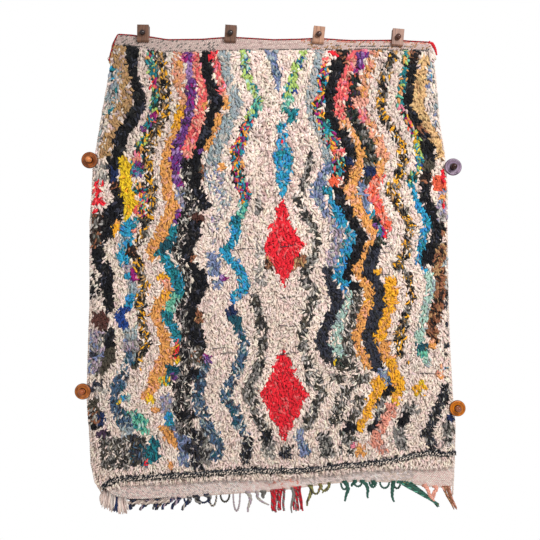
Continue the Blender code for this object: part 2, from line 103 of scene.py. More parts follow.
# Bunches of fringe: place and width of the root, how many locks, how far they drop, how
# far they lean and curl to the right, how close their tips gather, and their yarns
Bunch = namedtuple("Bunch", "x width locks drop lean curl gather yarns")
FRINGE_BUNCHES = (
    Bunch(-315, 5, 1, 29, -6, 0, 1.0, "slate+dark_grey+navy"),
    Bunch(-270, 4, 1, 32, -26, 5, 1.0, "navy+dark_grey+lilac"),
    Bunch(-235, 17, 3, 34, -6, 0, 0.8, "slate+grey navy+slate dark_grey+grey"),
    Bunch(-187, 4, 1, 38, -24, -7, 1.0, "navy+lilac+slate"),
    Bunch(-166, 4, 1, 38, -20, -4, 1.0, "slate+lilac+navy"),
    Bunch(-136, 4, 1, 45, -18, 3, 1.0, "slate+pale_grey+navy"),
    Bunch(-113, 5, 1, 24, 22, -3, 1.0, "slate+grey+dark_grey"),
    Bunch(-76, 5, 1, 28, 8, 3, 1.0, "navy+slate+grey"),
    Bunch(56, 4, 1, 64, -3, 8, 1.0, "pale_grey+lilac"),
    Bunch(82, 3, 1, 45, 38, -16, 1.0, "pale_grey+lilac"),
    Bunch(106, 5, 1, 22, 4, 0, 1.0, "grey"),
    Bunch(150, 42, 8, 71, -1, 0, 0.82,
          "grey+maroon_red+red maroon_red+red grey+maroon_red+grey maroon_red+red+red maroon_red+maroon"),
    Bunch(197, 3, 1, 80, 4, 0, 1.0, "grey"),
    Bunch(213, 27, 6, 76, 6, -2, 1.12,
          "maroon_red+red grey+maroon_red red+maroon maroon_red+grey maroon_red+red"),
    Bunch(258, 4, 1, 68, -14, 3, 1.0, "yarn_green+olive_grey"),
    Bunch(287, 3, 1, 32, -8, 0, 1.0, "yarn_green+brown"),
    Bunch(316, 3, 1, 34, -22, 6, 1.0, "yarn_green+olive_grey"),
    Bunch(367, 4, 1, 67, 3, 10, 1.0, "bottle_green"),
    Bunch(402, 4, 1, 19, -6, 0, 1.0, "bottle_green"),
    Bunch(424, 4, 1, 60, 24, 8, 1.0, "bottle_green"),
    Bunch(458, 4, 1, 18, -2, 0, 1.0, "bottle_green"),
    Bunch(524, 4, 1, 68, 3, -3, 1.0, "bottle_green"),
    Bunch(563, 54, 6, 80, 106, 4, 0.2,
          "bottle_green+mint bottle_green+dark_green bottle_green+yarn_green bottle_green"),
    Bunch(622, 4, 1, 52, 30, 0, 1.0, "peach_pink"),
    Bunch(658, 4, 1, 34, -2, 6, 1.0, "peach_pink"),
    Bunch(694, 24, 5, 76, 34, -3, 0.25, "peach_pink+brown brown+tan peach_pink+brown brown"),
)
# Corner tassel: the middle and width of its root, how far it drops, and how many rags
TASSEL_X, TASSEL_WIDTH, TASSEL_DROP, TASSEL_RAGS = -373, 70, 48, 92
# How much of its thickness a lock keeps at its tip: usually, in maroon wool, and in the
# left part, which ends at LEFT_PART
TIP, MAROON_TIP, LEFT_TIP = 0.42, 0.8, 0.62
LEFT_PART = -100
# The thick rope in the hem at the lower left, and the dark cord above it that is a painted shadow of the
# fold there: from and to
ROPE_SPAN, ROPE_RADIUS = (-344, -196), 5.4
FOLD_SHADOW_SPAN = (-338, -200)
LOCK_SPACE = 1.1
DROP_SPREAD = 0.1
# Warp loops: their two roots, how far they drop, and their yarn
Loop = namedtuple("Loop", "left right drop yarn")
FRINGE_LOOPS = (
    Loop(-33, -4, 24, "olive_grey"),
    Loop(8, 30, 56, "pale_grey+lilac"),
    Loop(482, 512, 20, "bottle_green"),
    Loop(636, 662, 42, "peach_pink"),
    Loop(262, 288, 26, "yarn_green+olive_grey"),
    Loop(290, 318, 20, "yarn_green+olive_grey"),
    Loop(-106, -70, 20, "navy+slate"),
    Loop(-70, -46, 34, "sage_cream+slate"),
    Loop(356, 378, 22, "bottle_green"),
    Loop(398, 424, 16, "bottle_green"),
    Loop(448, 470, 18, "bottle_green"),
    Loop(526, 548, 20, "bottle_green+dark_green"),
    Loop(-150, -128, 18, "navy"),
    Loop(-246, -222, 18, "grey+brown"),
)
# Tails of the binding, past the two upper corners; the left one comes forward as it falls
LEFT_TAIL = ((-390, -87), (-385, -62), (-379, -40), (-373, -18), (-362, -3))
TAIL_FORWARD = 0.13
RIGHT_TAIL = ((642, -25), (651, -32), (659, -47), (664, -66))

# Dark line of knots above the lower band, by the chart's squares across and down
DARK_LINE = (
    (102, 488), (108, 483), (120, 479), (150, 478), (180, 475.5), (200, 474.5), (230, 472),
    (275, 471), (300, 471), (323, 468.7), (343, 466), (362, 464.8), (382, 462.2),
    (401, 459.6), (415, 455.7), (428, 453), (447, 455), (457, 454),
)

# Thin dark wefts between the rows of pile: the chart's row, and the squares from and to
WEFT_LINES = (
    (250, 232, 258), (290, 245, 262), (349, 212, 229), (354, 221, 240), (298, 280, 300),
    (310, 298, 308), (326, 280, 300), (347, 295, 302), (354, 280, 300), (246, 280, 297),
    (246, 385, 393), (252, 382, 390), (275, 380, 391), (332, 385, 400), (341, 385, 398),
    (374, 420, 440),
)

# Rag colours, as they look on a screen
RAGS = {
    "black": (8, 12, 19), "navy": (30, 44, 82), "cream": (230, 212, 198),
    "rose_cream": (220, 196, 186), "sage_cream": (206, 192, 174), "tan": (178, 140, 96),
    "coral": (223, 92, 94), "peach": (224, 160, 124), "orange": (218, 154, 84),
    "mustard": (230, 166, 42), "yellow": (222, 186, 36), "purple": (104, 58, 126),
    "magenta": (150, 26, 108), "lavender": (160, 124, 176), "teal": (34, 122, 130),
    "cyan": (46, 148, 184), "blue": (52, 128, 188), "deep_blue": (34, 64, 130),
    "lime": (166, 190, 104), "mint": (104, 180, 152), "pale_mint": (164, 194, 180),
    "grey_blue": (146, 158, 162), "periwinkle": (120, 130, 164), "denim": (70, 94, 120),
    "red": (222, 36, 50), "orange_red": (222, 94, 64), "maroon": (84, 50, 44),
    "brown": (142, 92, 66), "dark_brown": (36, 25, 23), "olive_grey": (74, 68, 58),
    "slate": (50, 52, 64), "lilac": (172, 152, 166), "salmon": (218, 142, 122),
    "dark_green": (34, 50, 42), "grey": (126, 122, 118), "pale_grey": (184, 176, 168),
    "dark_grey": (42, 41, 40), "plum": (66, 46, 70), "pink": (224, 128, 150),
    "dark_teal": (28, 78, 92), "ivory": (228, 214, 206), "yarn_green": (142, 138, 84),
    "bottle_green": (54, 96, 84), "maroon_red": (152, 34, 46),
    "peach_pink": (228, 164, 144), "rose_grey": (188, 160, 152),
    "sand": (218, 178, 126),
}
# Mixed yarns: the rags that a course is pieced from
MIXES = {
    "cream": "cream cream cream cream cream rose_cream rose_cream rose_cream",
    "tan": "tan tan tan tan tan tan tan rose_grey cream",
    "sage": "sage_cream cream rose_cream cream sage_cream",
    "rose": "rose_cream cream rose_grey rose_cream cream rose_cream",
    "black": "black black black black dark_grey slate black black",
    "dark_brown": "dark_brown dark_brown black brown",
    "coral": "coral coral coral salmon salmon peach_pink coral pink",
    "peach": "peach peach peach salmon orange cream",
    "orange": "orange orange orange orange peach",
    "mustard": "mustard mustard mustard orange",
    "red": "red red red red red coral",
    "teal": "teal teal teal dark_teal cyan",
    "cyan": "cyan cyan cyan blue teal grey_blue",
    "blue": "cyan cyan blue teal cyan",
    "purple": "purple purple purple purple lavender plum purple magenta",
    "magenta": "magenta magenta purple pink",
    "lime": "lime lime lime pale_mint deep_blue lime teal lime",
    "mint": "mint mint pale_mint teal",
    "pale_mint": "pale_mint pale_mint pale_mint cream grey_blue",
    "grey_blue": "grey_blue grey_blue grey_blue pale_grey",
    "periwinkle": "periwinkle periwinkle denim grey_blue periwinkle",
    "denim": "denim denim dark_teal slate grey_blue denim cream",
    "grey_brown": "olive_grey grey dark_brown brown pale_grey",
    "mustard_mix": "mustard olive_grey dark_brown black mustard olive_grey cream tan black grey",
    "multi": "teal teal orange coral black magenta mustard purple dark_green orange_red cyan mint"
             " dark_brown",
    "dark_multi": "dark_green black dark_brown olive_grey orange_red dark_green plum black",
    "teal_mix": "teal cyan yellow lime deep_blue",
    "green_mix": "lime mustard teal dark_green yellow",
    "red_mix": "coral magenta purple red",
    "red_green": "coral dark_green mustard teal red",
    "purple_mix": "purple teal magenta periwinkle",
    "pale_mix": "cream cream pale_grey grey_blue tan teal rose_cream cream grey_blue",
    "pale_blue_mix": "cream cream cream pale_grey grey_blue periwinkle cream cream",
    "teal_green": "teal teal mint dark_green lime dark_teal teal orange",
    "warm_coral": "coral orange_red salmon orange_red coral salmon",
    "lilac": "lilac lilac grey pale_grey periwinkle",
    "brown": "brown brown brown dark_brown tan",
    "sand": "sand sand sand tan sand sand",
    "dark_green": "dark_green olive_grey olive_grey black dark_green grey",
    "yellow": "yellow yellow yellow yellow mustard yellow yellow yellow yellow",
    "blue_mix": "cream cream grey_blue pale_grey periwinkle cream lilac",
    "slate": "slate slate dark_grey slate slate slate black slate",
    "murky": "slate denim dark_teal olive_grey grey dark_grey slate",
    "deep_teal": "dark_teal teal dark_teal teal",
    "salmon": "salmon peach_pink salmon peach_pink rose_grey salmon",
    "speckle": "black pale_grey cream dark_grey grey black grey black dark_brown",
    "dark_speckle": "black slate slate dark_grey pale_grey black",
    "grey_speckle": "olive_grey grey dark_grey olive_grey cream dark_grey pale_grey grey",
    "pale_speckle": "cream cream pale_grey black dark_grey",
    "line": "black black dark_grey black cream grey",
    "pale_yellow": "yellow cream mustard",
    "dark_grey": "dark_grey grey olive_grey dark_grey grey cream pale_grey",
    "grey": "grey grey pale_grey dark_grey",
    "pale_grey": "pale_grey pale_grey cream grey",
}
# The pattern as the weaver's chart: squares of 3.2 mm, counted down from the clips and
# across from the left. Each line is a course: its yarn, then a row with its left and right
# edge for each turn. Later courses lie over earlier ones, and cream rags fill what is left.
SQUARE = 3.2
CHART_ZERO = (230.4, 33.0)
Course = namedtuple("Course", "yarn turns")
MIDDLE = """
sage 58 262 276, 110 262 274
rose 108 258 312, 150 256 308, 202 262 300
cyan 119 280 282, 128 278 286, 145 277 287, 155 272 293, 163 275 294, 177 276 290, 184 277 289,
  196 281 284
red 140 280 284, 142 280 284
red 148 280 283, 151 280 283
brown 256 262 309, 268 262 307
red 202 280 285, 223 273 290, 232 270 296, 244 262 304, 250 263 301, 264 272 293, 277 280 289,
  287 283 285
red 351 281 285, 362 275 291, 378 270 296, 391 262 305, 396 261 309, 402 263 304, 415 270 300,
  426 278 292, 441 283 285
dark_speckle 447 280 292, 458 280 292
"""
LEFT_SIDE = """
pale_mix 62 109 120, 100 104 119, 140 97 101
teal 63 110 113, 78 110 113
grey_blue 82 112 118, 103 104 108
tan 36 104 126, 61 106 127, 70 119 128, 90 121 133, 100 119 134, 115 114 127, 130 108 119,
  142 101 112, 157 97 110
black 44 126 139, 65 127 137, 101 134 145, 107 133 145, 120 122 138, 140 112 128, 157 112 124
black 157 103 118, 183 109 118
navy 168 111 118, 183 111 118
dark_brown 183 109 119, 191 110 120
black 190 113 122, 201 114 126, 210 104 123, 225 97 118, 240 96 113, 252 91 108, 262 92 109,
  275 99 115, 293 103 118, 312 104 112
maroon 313 93 104, 322 91 110, 330 100 106
black 328 108 114, 335 103 114, 348 104 115
olive_grey 348 103 116, 359 103 116, 376 92 103
slate 382 93 103, 388 89 102, 394 86 94
yellow 157 118 124, 162 118 131, 190 120 132, 203 123 139, 211 123 135, 219 124 130
coral 206 134 139, 213 134 139
mustard 221 115 120, 227 111 123, 236 113 117
sage 240 103 116, 262 103 116
sage 265 113 124, 300 113 124, 312 115 123
sage 330 115 123, 345 115 123
multi 48 148 156, 61 147 156, 80 149 156, 88 152 160, 111 150 159
teal_green 61 147 156, 78 149 156
red_mix 79 150 158, 88 150 158
teal_green 88 152 160, 110 150 160
magenta 111 150 158, 117 150 158
teal_green 117 144 150, 130 144 150
multi 120 149 161, 128 149 161
magenta 128 141 147, 133 141 147
green_mix 133 143 152, 147 136 149
teal_green 147 134 143, 155 134 142
coral 153 132 140, 163 132 140
purple_mix 163 131 143, 176 131 143
teal_green 183 133 142, 193 133 142
multi 186 139 148, 215 138 147, 222 132 141
cyan 220 124 140, 231 118 134, 238 120 134, 256 115 127, 266 118 131
coral 230 131 136, 233 131 136
lilac 265 123 131, 273 123 131
cyan 275 124 131, 281 124 131
magenta 268 129 136, 281 129 136
grey_blue 282 127 137, 293 127 137
blue 294 126 134, 307 123 134
deep_blue 307 120 131, 314 114 126, 328 119 128
grey_blue 329 125 135, 341 123 138
lilac 340 122 140, 352 122 140
denim 352 124 137, 361 124 136, 372 117 129, 388 110 126, 405 109 121, 420 115 133, 429 117 133
cyan 396 121 126, 401 121 126
pale_mint 395 126 131, 402 126 131
yellow 400 117 121, 404 117 121
mint 412 127 135, 420 132 146, 428 133 147, 434 140 148
grey_blue 428 120 133, 437 120 133
mustard_mix 48 154 166, 60 155 167, 85 158 170, 100 160 171, 118 156 168, 137 147 158,
  152 143 154, 165 141 153, 190 146 156, 205 148 157, 220 142 152, 236 137 146, 250 128 138
mustard_mix 258 131 142, 270 134 144, 288 140 149, 302 134 146, 316 138 146, 345 139 150,
  362 134 141, 370 130 138
dark_brown 246 126 136, 258 126 136
peach 50 171 180, 75 173 185, 85 174 184, 95 178 187, 105 180 187
orange 60 177 183, 68 177 183
mustard 105 178 188, 112 174 186, 118 174 184, 128 172 180
orange 128 172 180, 140 167 175, 150 162 172, 160 160 170, 190 161 173, 206 167 181, 220 160 172,
  236 153 167, 250 147 159, 260 147 155
mustard 275 158 169, 280 158 170
peach 280 160 172, 291 162 173
mustard 291 161 172, 299 158 171
orange 299 155 170, 307 152 167, 315 148 159, 322 153 163, 337 158 170, 355 159 174, 361 156 176,
  376 148 168, 388 147 159, 395 141 155, 400 141 147
yellow 359 175 182, 364 175 182
yellow 396 146 155, 403 146 155
orange 408 150 158, 413 150 158
orange 426 158 172, 439 163 177, 447 171 179, 453 178 183
orange 462 168 173, 470 168 173
magenta 49 180 191, 62 181 191
lavender 62 185 192, 79 185 193
purple 79 186 196, 100 187 197, 118 183 192, 134 177 187, 142 172 183, 160 169 180, 180 171 181,
  187 175 182
lilac 187 175 182, 207 179 187
purple 211 175 184, 217 172 183, 223 173 180
teal 226 170 179, 236 167 178, 253 155 167, 262 161 173, 284 172 187, 296 171 183
dark_teal 240 163 174, 251 158 170
mint 296 170 183, 303 165 181, 311 163 176
teal 312 160 173, 320 162 174, 333 169 181, 342 172 184
red_green 342 174 186, 358 172 182
dark_teal 366 167 178, 376 167 178
purple 375 171 177, 380 171 177
green_mix 379 160 170, 386 160 170
lilac 394 160 168, 401 159 173, 415 160 171
blue 414 164 173, 426 164 174
periwinkle 426 170 187, 435 174 188, 445 178 190, 467 178 189
slate 444 183 190, 453 183 190
coral 50 191 199, 70 192 203, 88 197 207, 102 198 208, 118 192 205, 132 187 200, 148 182 197,
  158 181 193
orange 103 200 209, 108 200 209
speckle 158 180 190, 182 182 190, 190 182 195, 205 185 206, 220 177 190, 240 175 187, 250 171 182,
  275 182 191, 292 186 191, 308 174 190, 330 182 190, 350 178 190, 375 180 192, 387 172 191,
  436 176 190
black 49 200 208, 68 201 213, 75 203 211, 90 206 220, 102 209 222, 110 208 222, 122 203 217,
  138 198 208, 158 191 202, 180 190 200, 190 190 202, 206 201 212, 212 198 206
grey_brown 165 200 207, 182 200 207
maroon 214 190 203, 222 190 203
black 221 189 201, 235 187 201, 251 180 193, 257 183 192, 268 191 200, 278 194 209, 286 192 208,
  294 190 204, 311 186 197, 325 188 200, 344 191 206, 349 192 206
brown 256 190 194, 262 190 195
brown 311 196 203, 323 196 203
grey_brown 348 190 204, 366 190 204
black 369 190 200, 379 190 200
black 412 182 200, 419 182 200
dark_speckle 430 190 203, 470 190 203
grey 430 201 211, 466 201 211
red 49 208 217, 58 209 218
coral 58 212 219, 75 214 224, 82 217 224, 96 221 226
orange 95 223 229, 102 222 231, 110 223 230
orange 115 215 223, 126 214 221, 142 206 214, 152 203 210
purple 149 199 204, 156 199 204
grey_blue 50 219 228, 60 219 229, 80 223 232, 100 231 242, 107 230 241, 122 221 236, 140 213 228,
  158 206 220, 176 206 224, 185 205 222, 200 214 232, 215 213 226, 222 210 218, 245 209 217
blue_mix 165 205 221, 185 205 222, 200 214 232, 215 213 226, 222 210 218, 245 209 217
periwinkle 253 205 217, 268 208 220, 277 211 219
purple 276 218 227, 281 218 227
periwinkle 281 213 222, 289 213 222
orange 165 218 224, 170 218 224
purple 356 204 212, 364 204 212
denim 364 203 211, 374 199 206, 388 193 205, 403 191 204, 420 198 210, 434 206 219, 448 213 226,
  462 208 221
lime 49 238 248, 60 239 249, 80 245 252, 96 251 262, 103 252 262
mint 103 252 262, 111 252 262
lime 110 245 252, 118 245 252
teal 110 252 258, 118 251 258
multi 118 244 252, 134 238 250, 150 231 243, 178 231 244, 192 238 250, 203 240 252
mint 203 240 248, 211 237 247, 218 235 244
teal 217 231 240, 226 228 240
blue 226 231 240, 238 231 240, 250 219 232, 256 220 231
cyan 255 222 232, 266 230 243, 278 237 248, 286 240 252, 294 230 245, 303 230 234
navy 306 229 235, 312 224 236, 319 228 240
dark_teal 318 228 241, 333 234 243
denim 332 235 245, 348 240 249, 360 235 246, 378 228 240, 390 221 233, 399 219 230, 409 229 240,
  424 232 244, 438 240 251
dark_speckle 438 243 254, 456 240 252, 464 240 250
periwinkle 50 265 277, 65 270 279, 84 276 280, 91 277 279
grey 200 255 262, 215 255 262
pale_grey 240 255 265, 286 255 265
dark_grey 294 251 258, 304 250 261, 320 255 267, 345 257 268, 360 256 266, 380 246 258,
  394 241 255, 415 251 264, 432 259 270
black 361 260 264, 368 260 264
black 432 261 272, 441 261 272
grey 441 262 275, 458 262 275
pale_grey 165 92 107, 182 93 107
red 182 94 101, 187 95 101
red 190 93 103, 194 93 103
red 198 93 104, 204 93 104
red 209 93 98, 213 93 98
grey_brown 213 88 101, 248 88 101
pale_speckle 275 86 100, 300 86 100
lilac 331 88 103, 345 88 103, 353 88 104, 374 86 98
slate 353 86 95, 358 86 95
pale_grey 388 93 108, 401 93 108
olive_grey 400 86 98, 411 86 98
grey_brown 411 86 100, 426 88 100
navy 414 97 104, 428 97 104
black 426 88 98, 430 88 98
plum 432 97 106, 440 97 106
slate 432 105 111, 437 105 111
grey_speckle 438 98 130, 470 100 130
murky 437 130 147, 450 130 147
murky 450 130 148, 466 130 148
deep_teal 439 150 158, 447 148 160, 462 147 158
red 461 144 148, 465 144 148
"""
RIGHT_SIDE = """
lime 49 300 309, 60 297 306, 70 290 300, 90 284 296, 97 284 294
mint 96 284 294, 110 280 290
teal 109 288 297, 122 287 296
grey_blue 49 316 326, 72 312 323, 90 308 318, 100 303 314, 110 307 316, 120 308 318, 140 318 326,
  160 325 332
periwinkle 159 326 334, 172 320 330, 186 311 325, 200 312 323, 215 323 332
lilac 215 324 334, 225 330 343, 235 331 345, 245 331 342, 255 328 338, 267 326 336
red 49 329 338, 55 329 338
coral 58 322 329, 66 322 329
multi 66 322 330, 80 317 328, 97 317 326, 108 312 321, 120 316 326, 133 321 337, 150 329 342
teal 124 323 331, 130 323 332
coral 149 333 345, 158 333 345
multi 158 332 346, 178 331 344
orange_red 178 330 341, 187 328 340
teal 187 323 333, 196 323 333
dark_brown 49 338 350, 63 334 347
black 62 332 347, 90 326 338, 100 324 336, 116 324 337, 136 338 350, 150 345 357, 159 347 358
navy 159 345 354, 166 345 354
dark_brown 166 344 353, 188 341 349
black 188 334 346, 202 335 346, 209 340 353, 217 345 356, 237 357 368, 255 350 363, 270 340 353,
  279 341 352, 286 347 363, 292 350 361
coral 49 350 360, 67 345 355, 80 338 350, 96 337 348, 104 332 345, 120 338 347
peach 120 338 350, 129 340 352
orange 128 349 358, 152 357 368, 160 356 365, 180 348 360, 190 344 357, 208 352 365, 223 361 374,
  234 369 380, 252 364 374, 270 351 362, 287 362 373, 301 366 379, 313 358 370, 333 350 363,
  345 354 362, 360 360 372, 369 363 373
mustard 297 364 378, 302 366 379
magenta 49 360 370, 57 359 369
purple 55 357 366, 68 355 363
magenta 67 354 360, 75 354 360
dark_multi 75 350 359, 90 349 359, 110 345 356, 120 349 360
dark_green 120 350 362, 133 356 371, 155 366 379, 169 362 376
navy 167 364 377, 178 363 375
dark_green 177 360 372, 185 360 370
periwinkle 184 359 368, 193 358 367, 209 366 372
blue 212 368 375, 218 369 376
dark_green 217 372 383, 226 374 385
purple_mix 225 374 386, 237 377 387
red 233 383 387, 236 383 387
dark_green 237 376 387, 249 371 381
slate 249 370 381, 272 361 376, 288 374 385, 302 373 389, 316 369 382, 327 364 378, 339 362 376,
  361 370 382, 371 373 385
mustard 269 375 382, 275 375 382
periwinkle 370 376 388, 387 386 396
black 387 382 398, 397 379 396
dark_grey 397 377 390, 420 375 386
peach 50 370 382, 68 366 376, 76 361 372, 97 358 369
peach_pink 97 354 368, 107 355 368
coral 110 357 368, 122 359 371
peach 122 366 376, 145 373 384, 159 378 391
orange 160 377 387, 176 375 384
warm_coral 175 374 385, 193 366 378, 214 376 387, 221 381 392, 229 385 391
mustard_mix 48 391 400, 70 382 392, 85 378 388, 110 374 385, 126 384 395, 143 397 406,
  158 400 409, 176 395 404, 190 388 398, 208 395 406, 226 406 416, 243 402 411, 250 404 413,
  266 392 403, 276 403 412, 298 409 415, 316 402 410, 336 394 406, 358 396 403
mustard_mix 361 405 411, 366 405 411
mustard_mix 183 387 395, 195 387 395
teal_green 49 405 410, 60 402 409, 80 400 406, 92 397 404
orange 91 400 403, 96 400 403
teal_green 96 395 402, 107 396 403
pink 107 397 404, 113 398 405
multi 112 400 408, 128 407 414, 142 414 421
green_mix 130 412 420, 143 414 422
teal_mix 143 414 423, 160 416 426, 172 417 425
teal_green 172 410 419, 185 407 416
blue 185 407 415, 200 413 420, 215 420 428, 229 425 433
cyan 228 421 430, 247 418 426, 262 416 422, 274 424 430
pale_mint 273 424 433, 290 427 438, 305 423 432, 315 420 430, 333 414 424, 343 416 426
dark_teal 343 416 428, 351 416 428
mint 351 418 428, 358 418 428
pale_mint 359 424 431, 366 424 431
dark_brown 49 410 421, 67 407 417
black 66 407 417, 90 405 416, 102 401 412, 114 409 423, 122 412 424
dark_brown 122 413 423, 135 418 430
black 134 419 431, 150 422 436, 160 424 436
olive_grey 159 423 435, 171 423 434
dark_brown 170 421 432, 183 420 431
black 183 420 430, 200 421 431, 215 428 442, 230 433 445, 243 428 440, 257 422 436, 266 424 433
sand 56 421 431, 66 419 432, 85 414 427, 95 413 426, 107 412 424, 130 427 438, 150 437 447,
  159 436 448
pale_blue_mix 64 427 436, 82 427 436, 100 426 438, 126 431 441
grey_blue 97 434 440, 108 434 440
blue 75 431 436, 79 431 436
brown 245 437 449, 262 433 446, 276 434 446, 290 437 448, 301 434 445, 315 429 442, 330 426 438,
  346 431 440
orange 343 428 435, 350 428 435
red 170 440 446, 175 440 446
orange_red 176 434 447, 192 434 447
red 177 441 447, 184 441 447
lilac 191 438 448, 222 438 448
orange 194 439 446, 199 439 446
red 203 442 447, 208 442 447
brown 232 442 447, 236 442 447
grey_blue 260 443 450, 266 443 450
grey 275 446 452, 300 446 452
slate 302 445 451, 310 445 451
orange 365 439 444, 368 439 444
blue 367 444 450, 371 444 450
peach 373 438 446, 379 438 446
yellow 381 419 425, 385 419 425
pale_yellow 385 413 426, 395 413 426
dark_grey 154 307 315, 168 303 313, 183 300 309, 199 293 302, 218 303 312, 236 312 322,
  252 311 320, 268 303 314, 278 297 309, 292 306 319, 303 309 320, 318 301 312, 338 297 306,
  355 301 311, 375 307 318
dark_grey 374 304 322, 386 305 325, 393 319 329, 409 309 319, 420 303 316, 431 302 311
periwinkle 430 297 304, 440 294 303, 448 299 309, 457 300 312
slate 268 321 331, 283 326 336, 292 328 342, 305 331 344, 326 320 332, 341 314 328, 358 322 334,
  365 325 333
blue 198 326 334, 213 332 343, 227 339 349
cyan 227 342 351, 236 347 358, 250 340 352, 264 337 346, 279 331 342
blue 280 339 348, 291 340 346
pale_mint 292 344 352, 301 345 354, 316 337 347, 326 334 345, 340 330 340, 347 330 343,
  358 335 345
yellow 361 333 338, 365 333 338
dark_green 358 336 345, 372 336 345
orange 366 348 353, 370 348 353
grey_speckle 291 353 363, 308 351 361, 328 343 355, 338 341 352, 358 345 357, 371 344 358
grey_speckle 375 329 345, 383 329 345
grey_speckle 375 350 369, 385 350 369
grey_speckle 387 341 356, 405 334 347, 425 329 341
grey_speckle 397 354 365, 410 351 363, 421 346 357
black 424 346 361, 428 344 360, 434 339 350
black 421 376 384, 427 369 380, 434 366 374
black 413 401 413, 421 398 410, 428 397 403
grey 404 404 418, 414 404 418
grey 428 395 404, 438 394 408, 450 396 408
grey 434 316 330, 458 321 335
dark_grey 433 341 355, 455 341 355
mustard 278 385 397, 296 385 398, 307 385 396, 320 380 391, 333 376 387, 341 372 386
orange 341 380 390, 352 379 391, 361 382 393
mustard 360 384 395, 375 389 401, 382 393 407, 390 395 405, 400 391 398
yellow 400 393 400, 406 393 400
salmon 404 388 397, 413 385 397, 424 379 390, 438 370 381, 446 371 386, 454 378 388
mustard 378 371 384, 390 373 386, 400 367 378, 411 364 373
mustard 411 363 372, 421 363 372
mustard 421 358 364, 430 358 364
orange 446 355 366, 456 355 366
pink 443 351 357, 448 351 357
dark_speckle 385 442 451, 400 438 450, 414 431 443, 428 424 436, 436 420 433, 443 426 437,
  452 429 437
slate 322 446 450, 325 446 450
slate 333 446 450, 336 446 450
slate 345 445 450, 348 445 450
slate 355 446 450, 358 446 450
navy 415 448 455, 422 448 455
grey 423 443 455, 446 443 455
"""


def read_chart(lines):
    """Courses from the chart's lines, where an indented line goes on from the one before."""
    courses = []
    for line in lines.strip().replace("\n ", "").split("\n"):
        yarn, turns = line.split(" ", 1)
        turns = [[int(number) for number in turn.split()] for turn in turns.split(",")]
        courses.append(Course(yarn, turns))
    return courses


COURSES = read_chart(MIDDLE) + read_chart(LEFT_SIDE) + read_chart(RIGHT_SIDE)


def linear(colour):
    """Screen colour from 0 to 255 as the light that Blender mixes."""
    share = np.asarray(colour, float) / 255
    return np.where(share <= 0.04045, share / 12.92, ((share + 0.055) / 1.055) ** 2.4)


def mix(a, b, share):
    """The value at a share of the way from one to the other."""
    return a + (b - a) * share


def edge_height(line, x):
    """Height of an edge at a place across."""
    return np.interp(x, *np.array(line, float).T)


def square_at(x):
    """The chart's square across at a place."""
    return x / SQUARE + CHART_ZERO[0]


def row_at(z):
    """The chart's row down at a height."""
    return CHART_ZERO[1] - z / SQUARE


def across_from(square):
    """Place across of a square of the chart."""
    return (square - CHART_ZERO[0]) * SQUARE


def height_from(row):
    """Height of a row of the chart."""
    return (CHART_ZERO[1] - row) * SQUARE


def along(line, share):
    """Height of an edge at a share of its width."""
    xs, zs = np.array(line, float).T
    return np.interp(mix(xs[0], xs[-1], share), xs, zs)


def sides_at(z):
    """Left and right end of the cloth at a height."""
    heights, left, right = np.array(SIDES, float).T
    inset = np.interp(-z, (85, 100), (TOP_INSET, SIDE_INSET))
    return np.interp(-z, -heights, left) + inset, np.interp(-z, -heights, right) - inset


def band_top(share):
    """Height of the upper line of the flat-woven band."""
    shares, heights = np.array(BAND, float).T
    return along(BOTTOM_EDGE, share) + np.interp(share, shares, heights)


def ripple(x, z, size, seed):
    """Smooth uneven field from -1 to 1 over the cloth, with waves of about a given size."""
    rng = np.random.default_rng(seed)
    total = np.zeros(np.shape(x))
    for _ in range(7):
        turn, shift, reach = rng.uniform(0, 2 * pi, 2).tolist() + [rng.uniform(0.7, 1.6)]
        wave = (x * cos(turn) + z * sin(turn)) / (size * reach)
        total = total + np.sin(2 * pi * wave + shift)
    return total / 7 * 1.6


class Cloth:
    """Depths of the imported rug's front and back, in millimetres from the wall."""

    STEP = 6.0

    def __init__(self):
        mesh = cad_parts["rug"].data
        verts = [vert.co.copy() for vert in mesh.vertices]
        faces = [tuple(face.vertices) for face in mesh.polygons]
        tree = BVHTree.FromPolygons(verts, faces)
        self.left, self.top = -474.0, -6.0
        columns, rows = int(1210 / self.STEP), int(1530 / self.STEP)
        self.front = np.full((rows, columns), np.nan)
        self.back = np.full((rows, columns), np.nan)
        for row in range(rows):
            z = (self.top - row * self.STEP) * MM
            for column in range(columns):
                x = (self.left + column * self.STEP) * MM
                hit = tree.ray_cast(Vector((x, -0.3, z)), Vector((0, 1, 0)))[0]
                if hit is None:
                    continue
                self.front[row, column] = -hit.y / MM
                hit = tree.ray_cast(Vector((x, 0.3, z)), Vector((0, -1, 0)))[0]
                self.back[row, column] = -hit.y / MM
        self.fill(self.front)
        self.fill(self.back)

    @staticmethod
    def fill(depths):
        """Carries the depths at the rim outwards, so that a look past it finds one."""
        for row in depths:
            known = np.flatnonzero(~np.isnan(row))
            if len(known):
                row[:] = np.interp(np.arange(len(row)), known, row[known])
        known = np.flatnonzero(~np.isnan(depths[:, 0]))
        for column in depths.T:
            column[:] = np.interp(np.arange(len(column)), known, column[known])

    def look(self, depths, x, z):
        """Depths at places, mixed from the four nearest ones that were read."""
        rows, columns = depths.shape
        across = np.clip((np.asarray(x) - self.left) / self.STEP, 0, columns - 1.001)
        down = np.clip((self.top - np.asarray(z)) / self.STEP, 0, rows - 1.001)
        c, r = across.astype(int), down.astype(int)
        u, v = across - c, down - r
        upper = mix(depths[r, c], depths[r, c + 1], u)
        lower = mix(depths[r + 1, c], depths[r + 1, c + 1], u)
        return mix(upper, lower, v)


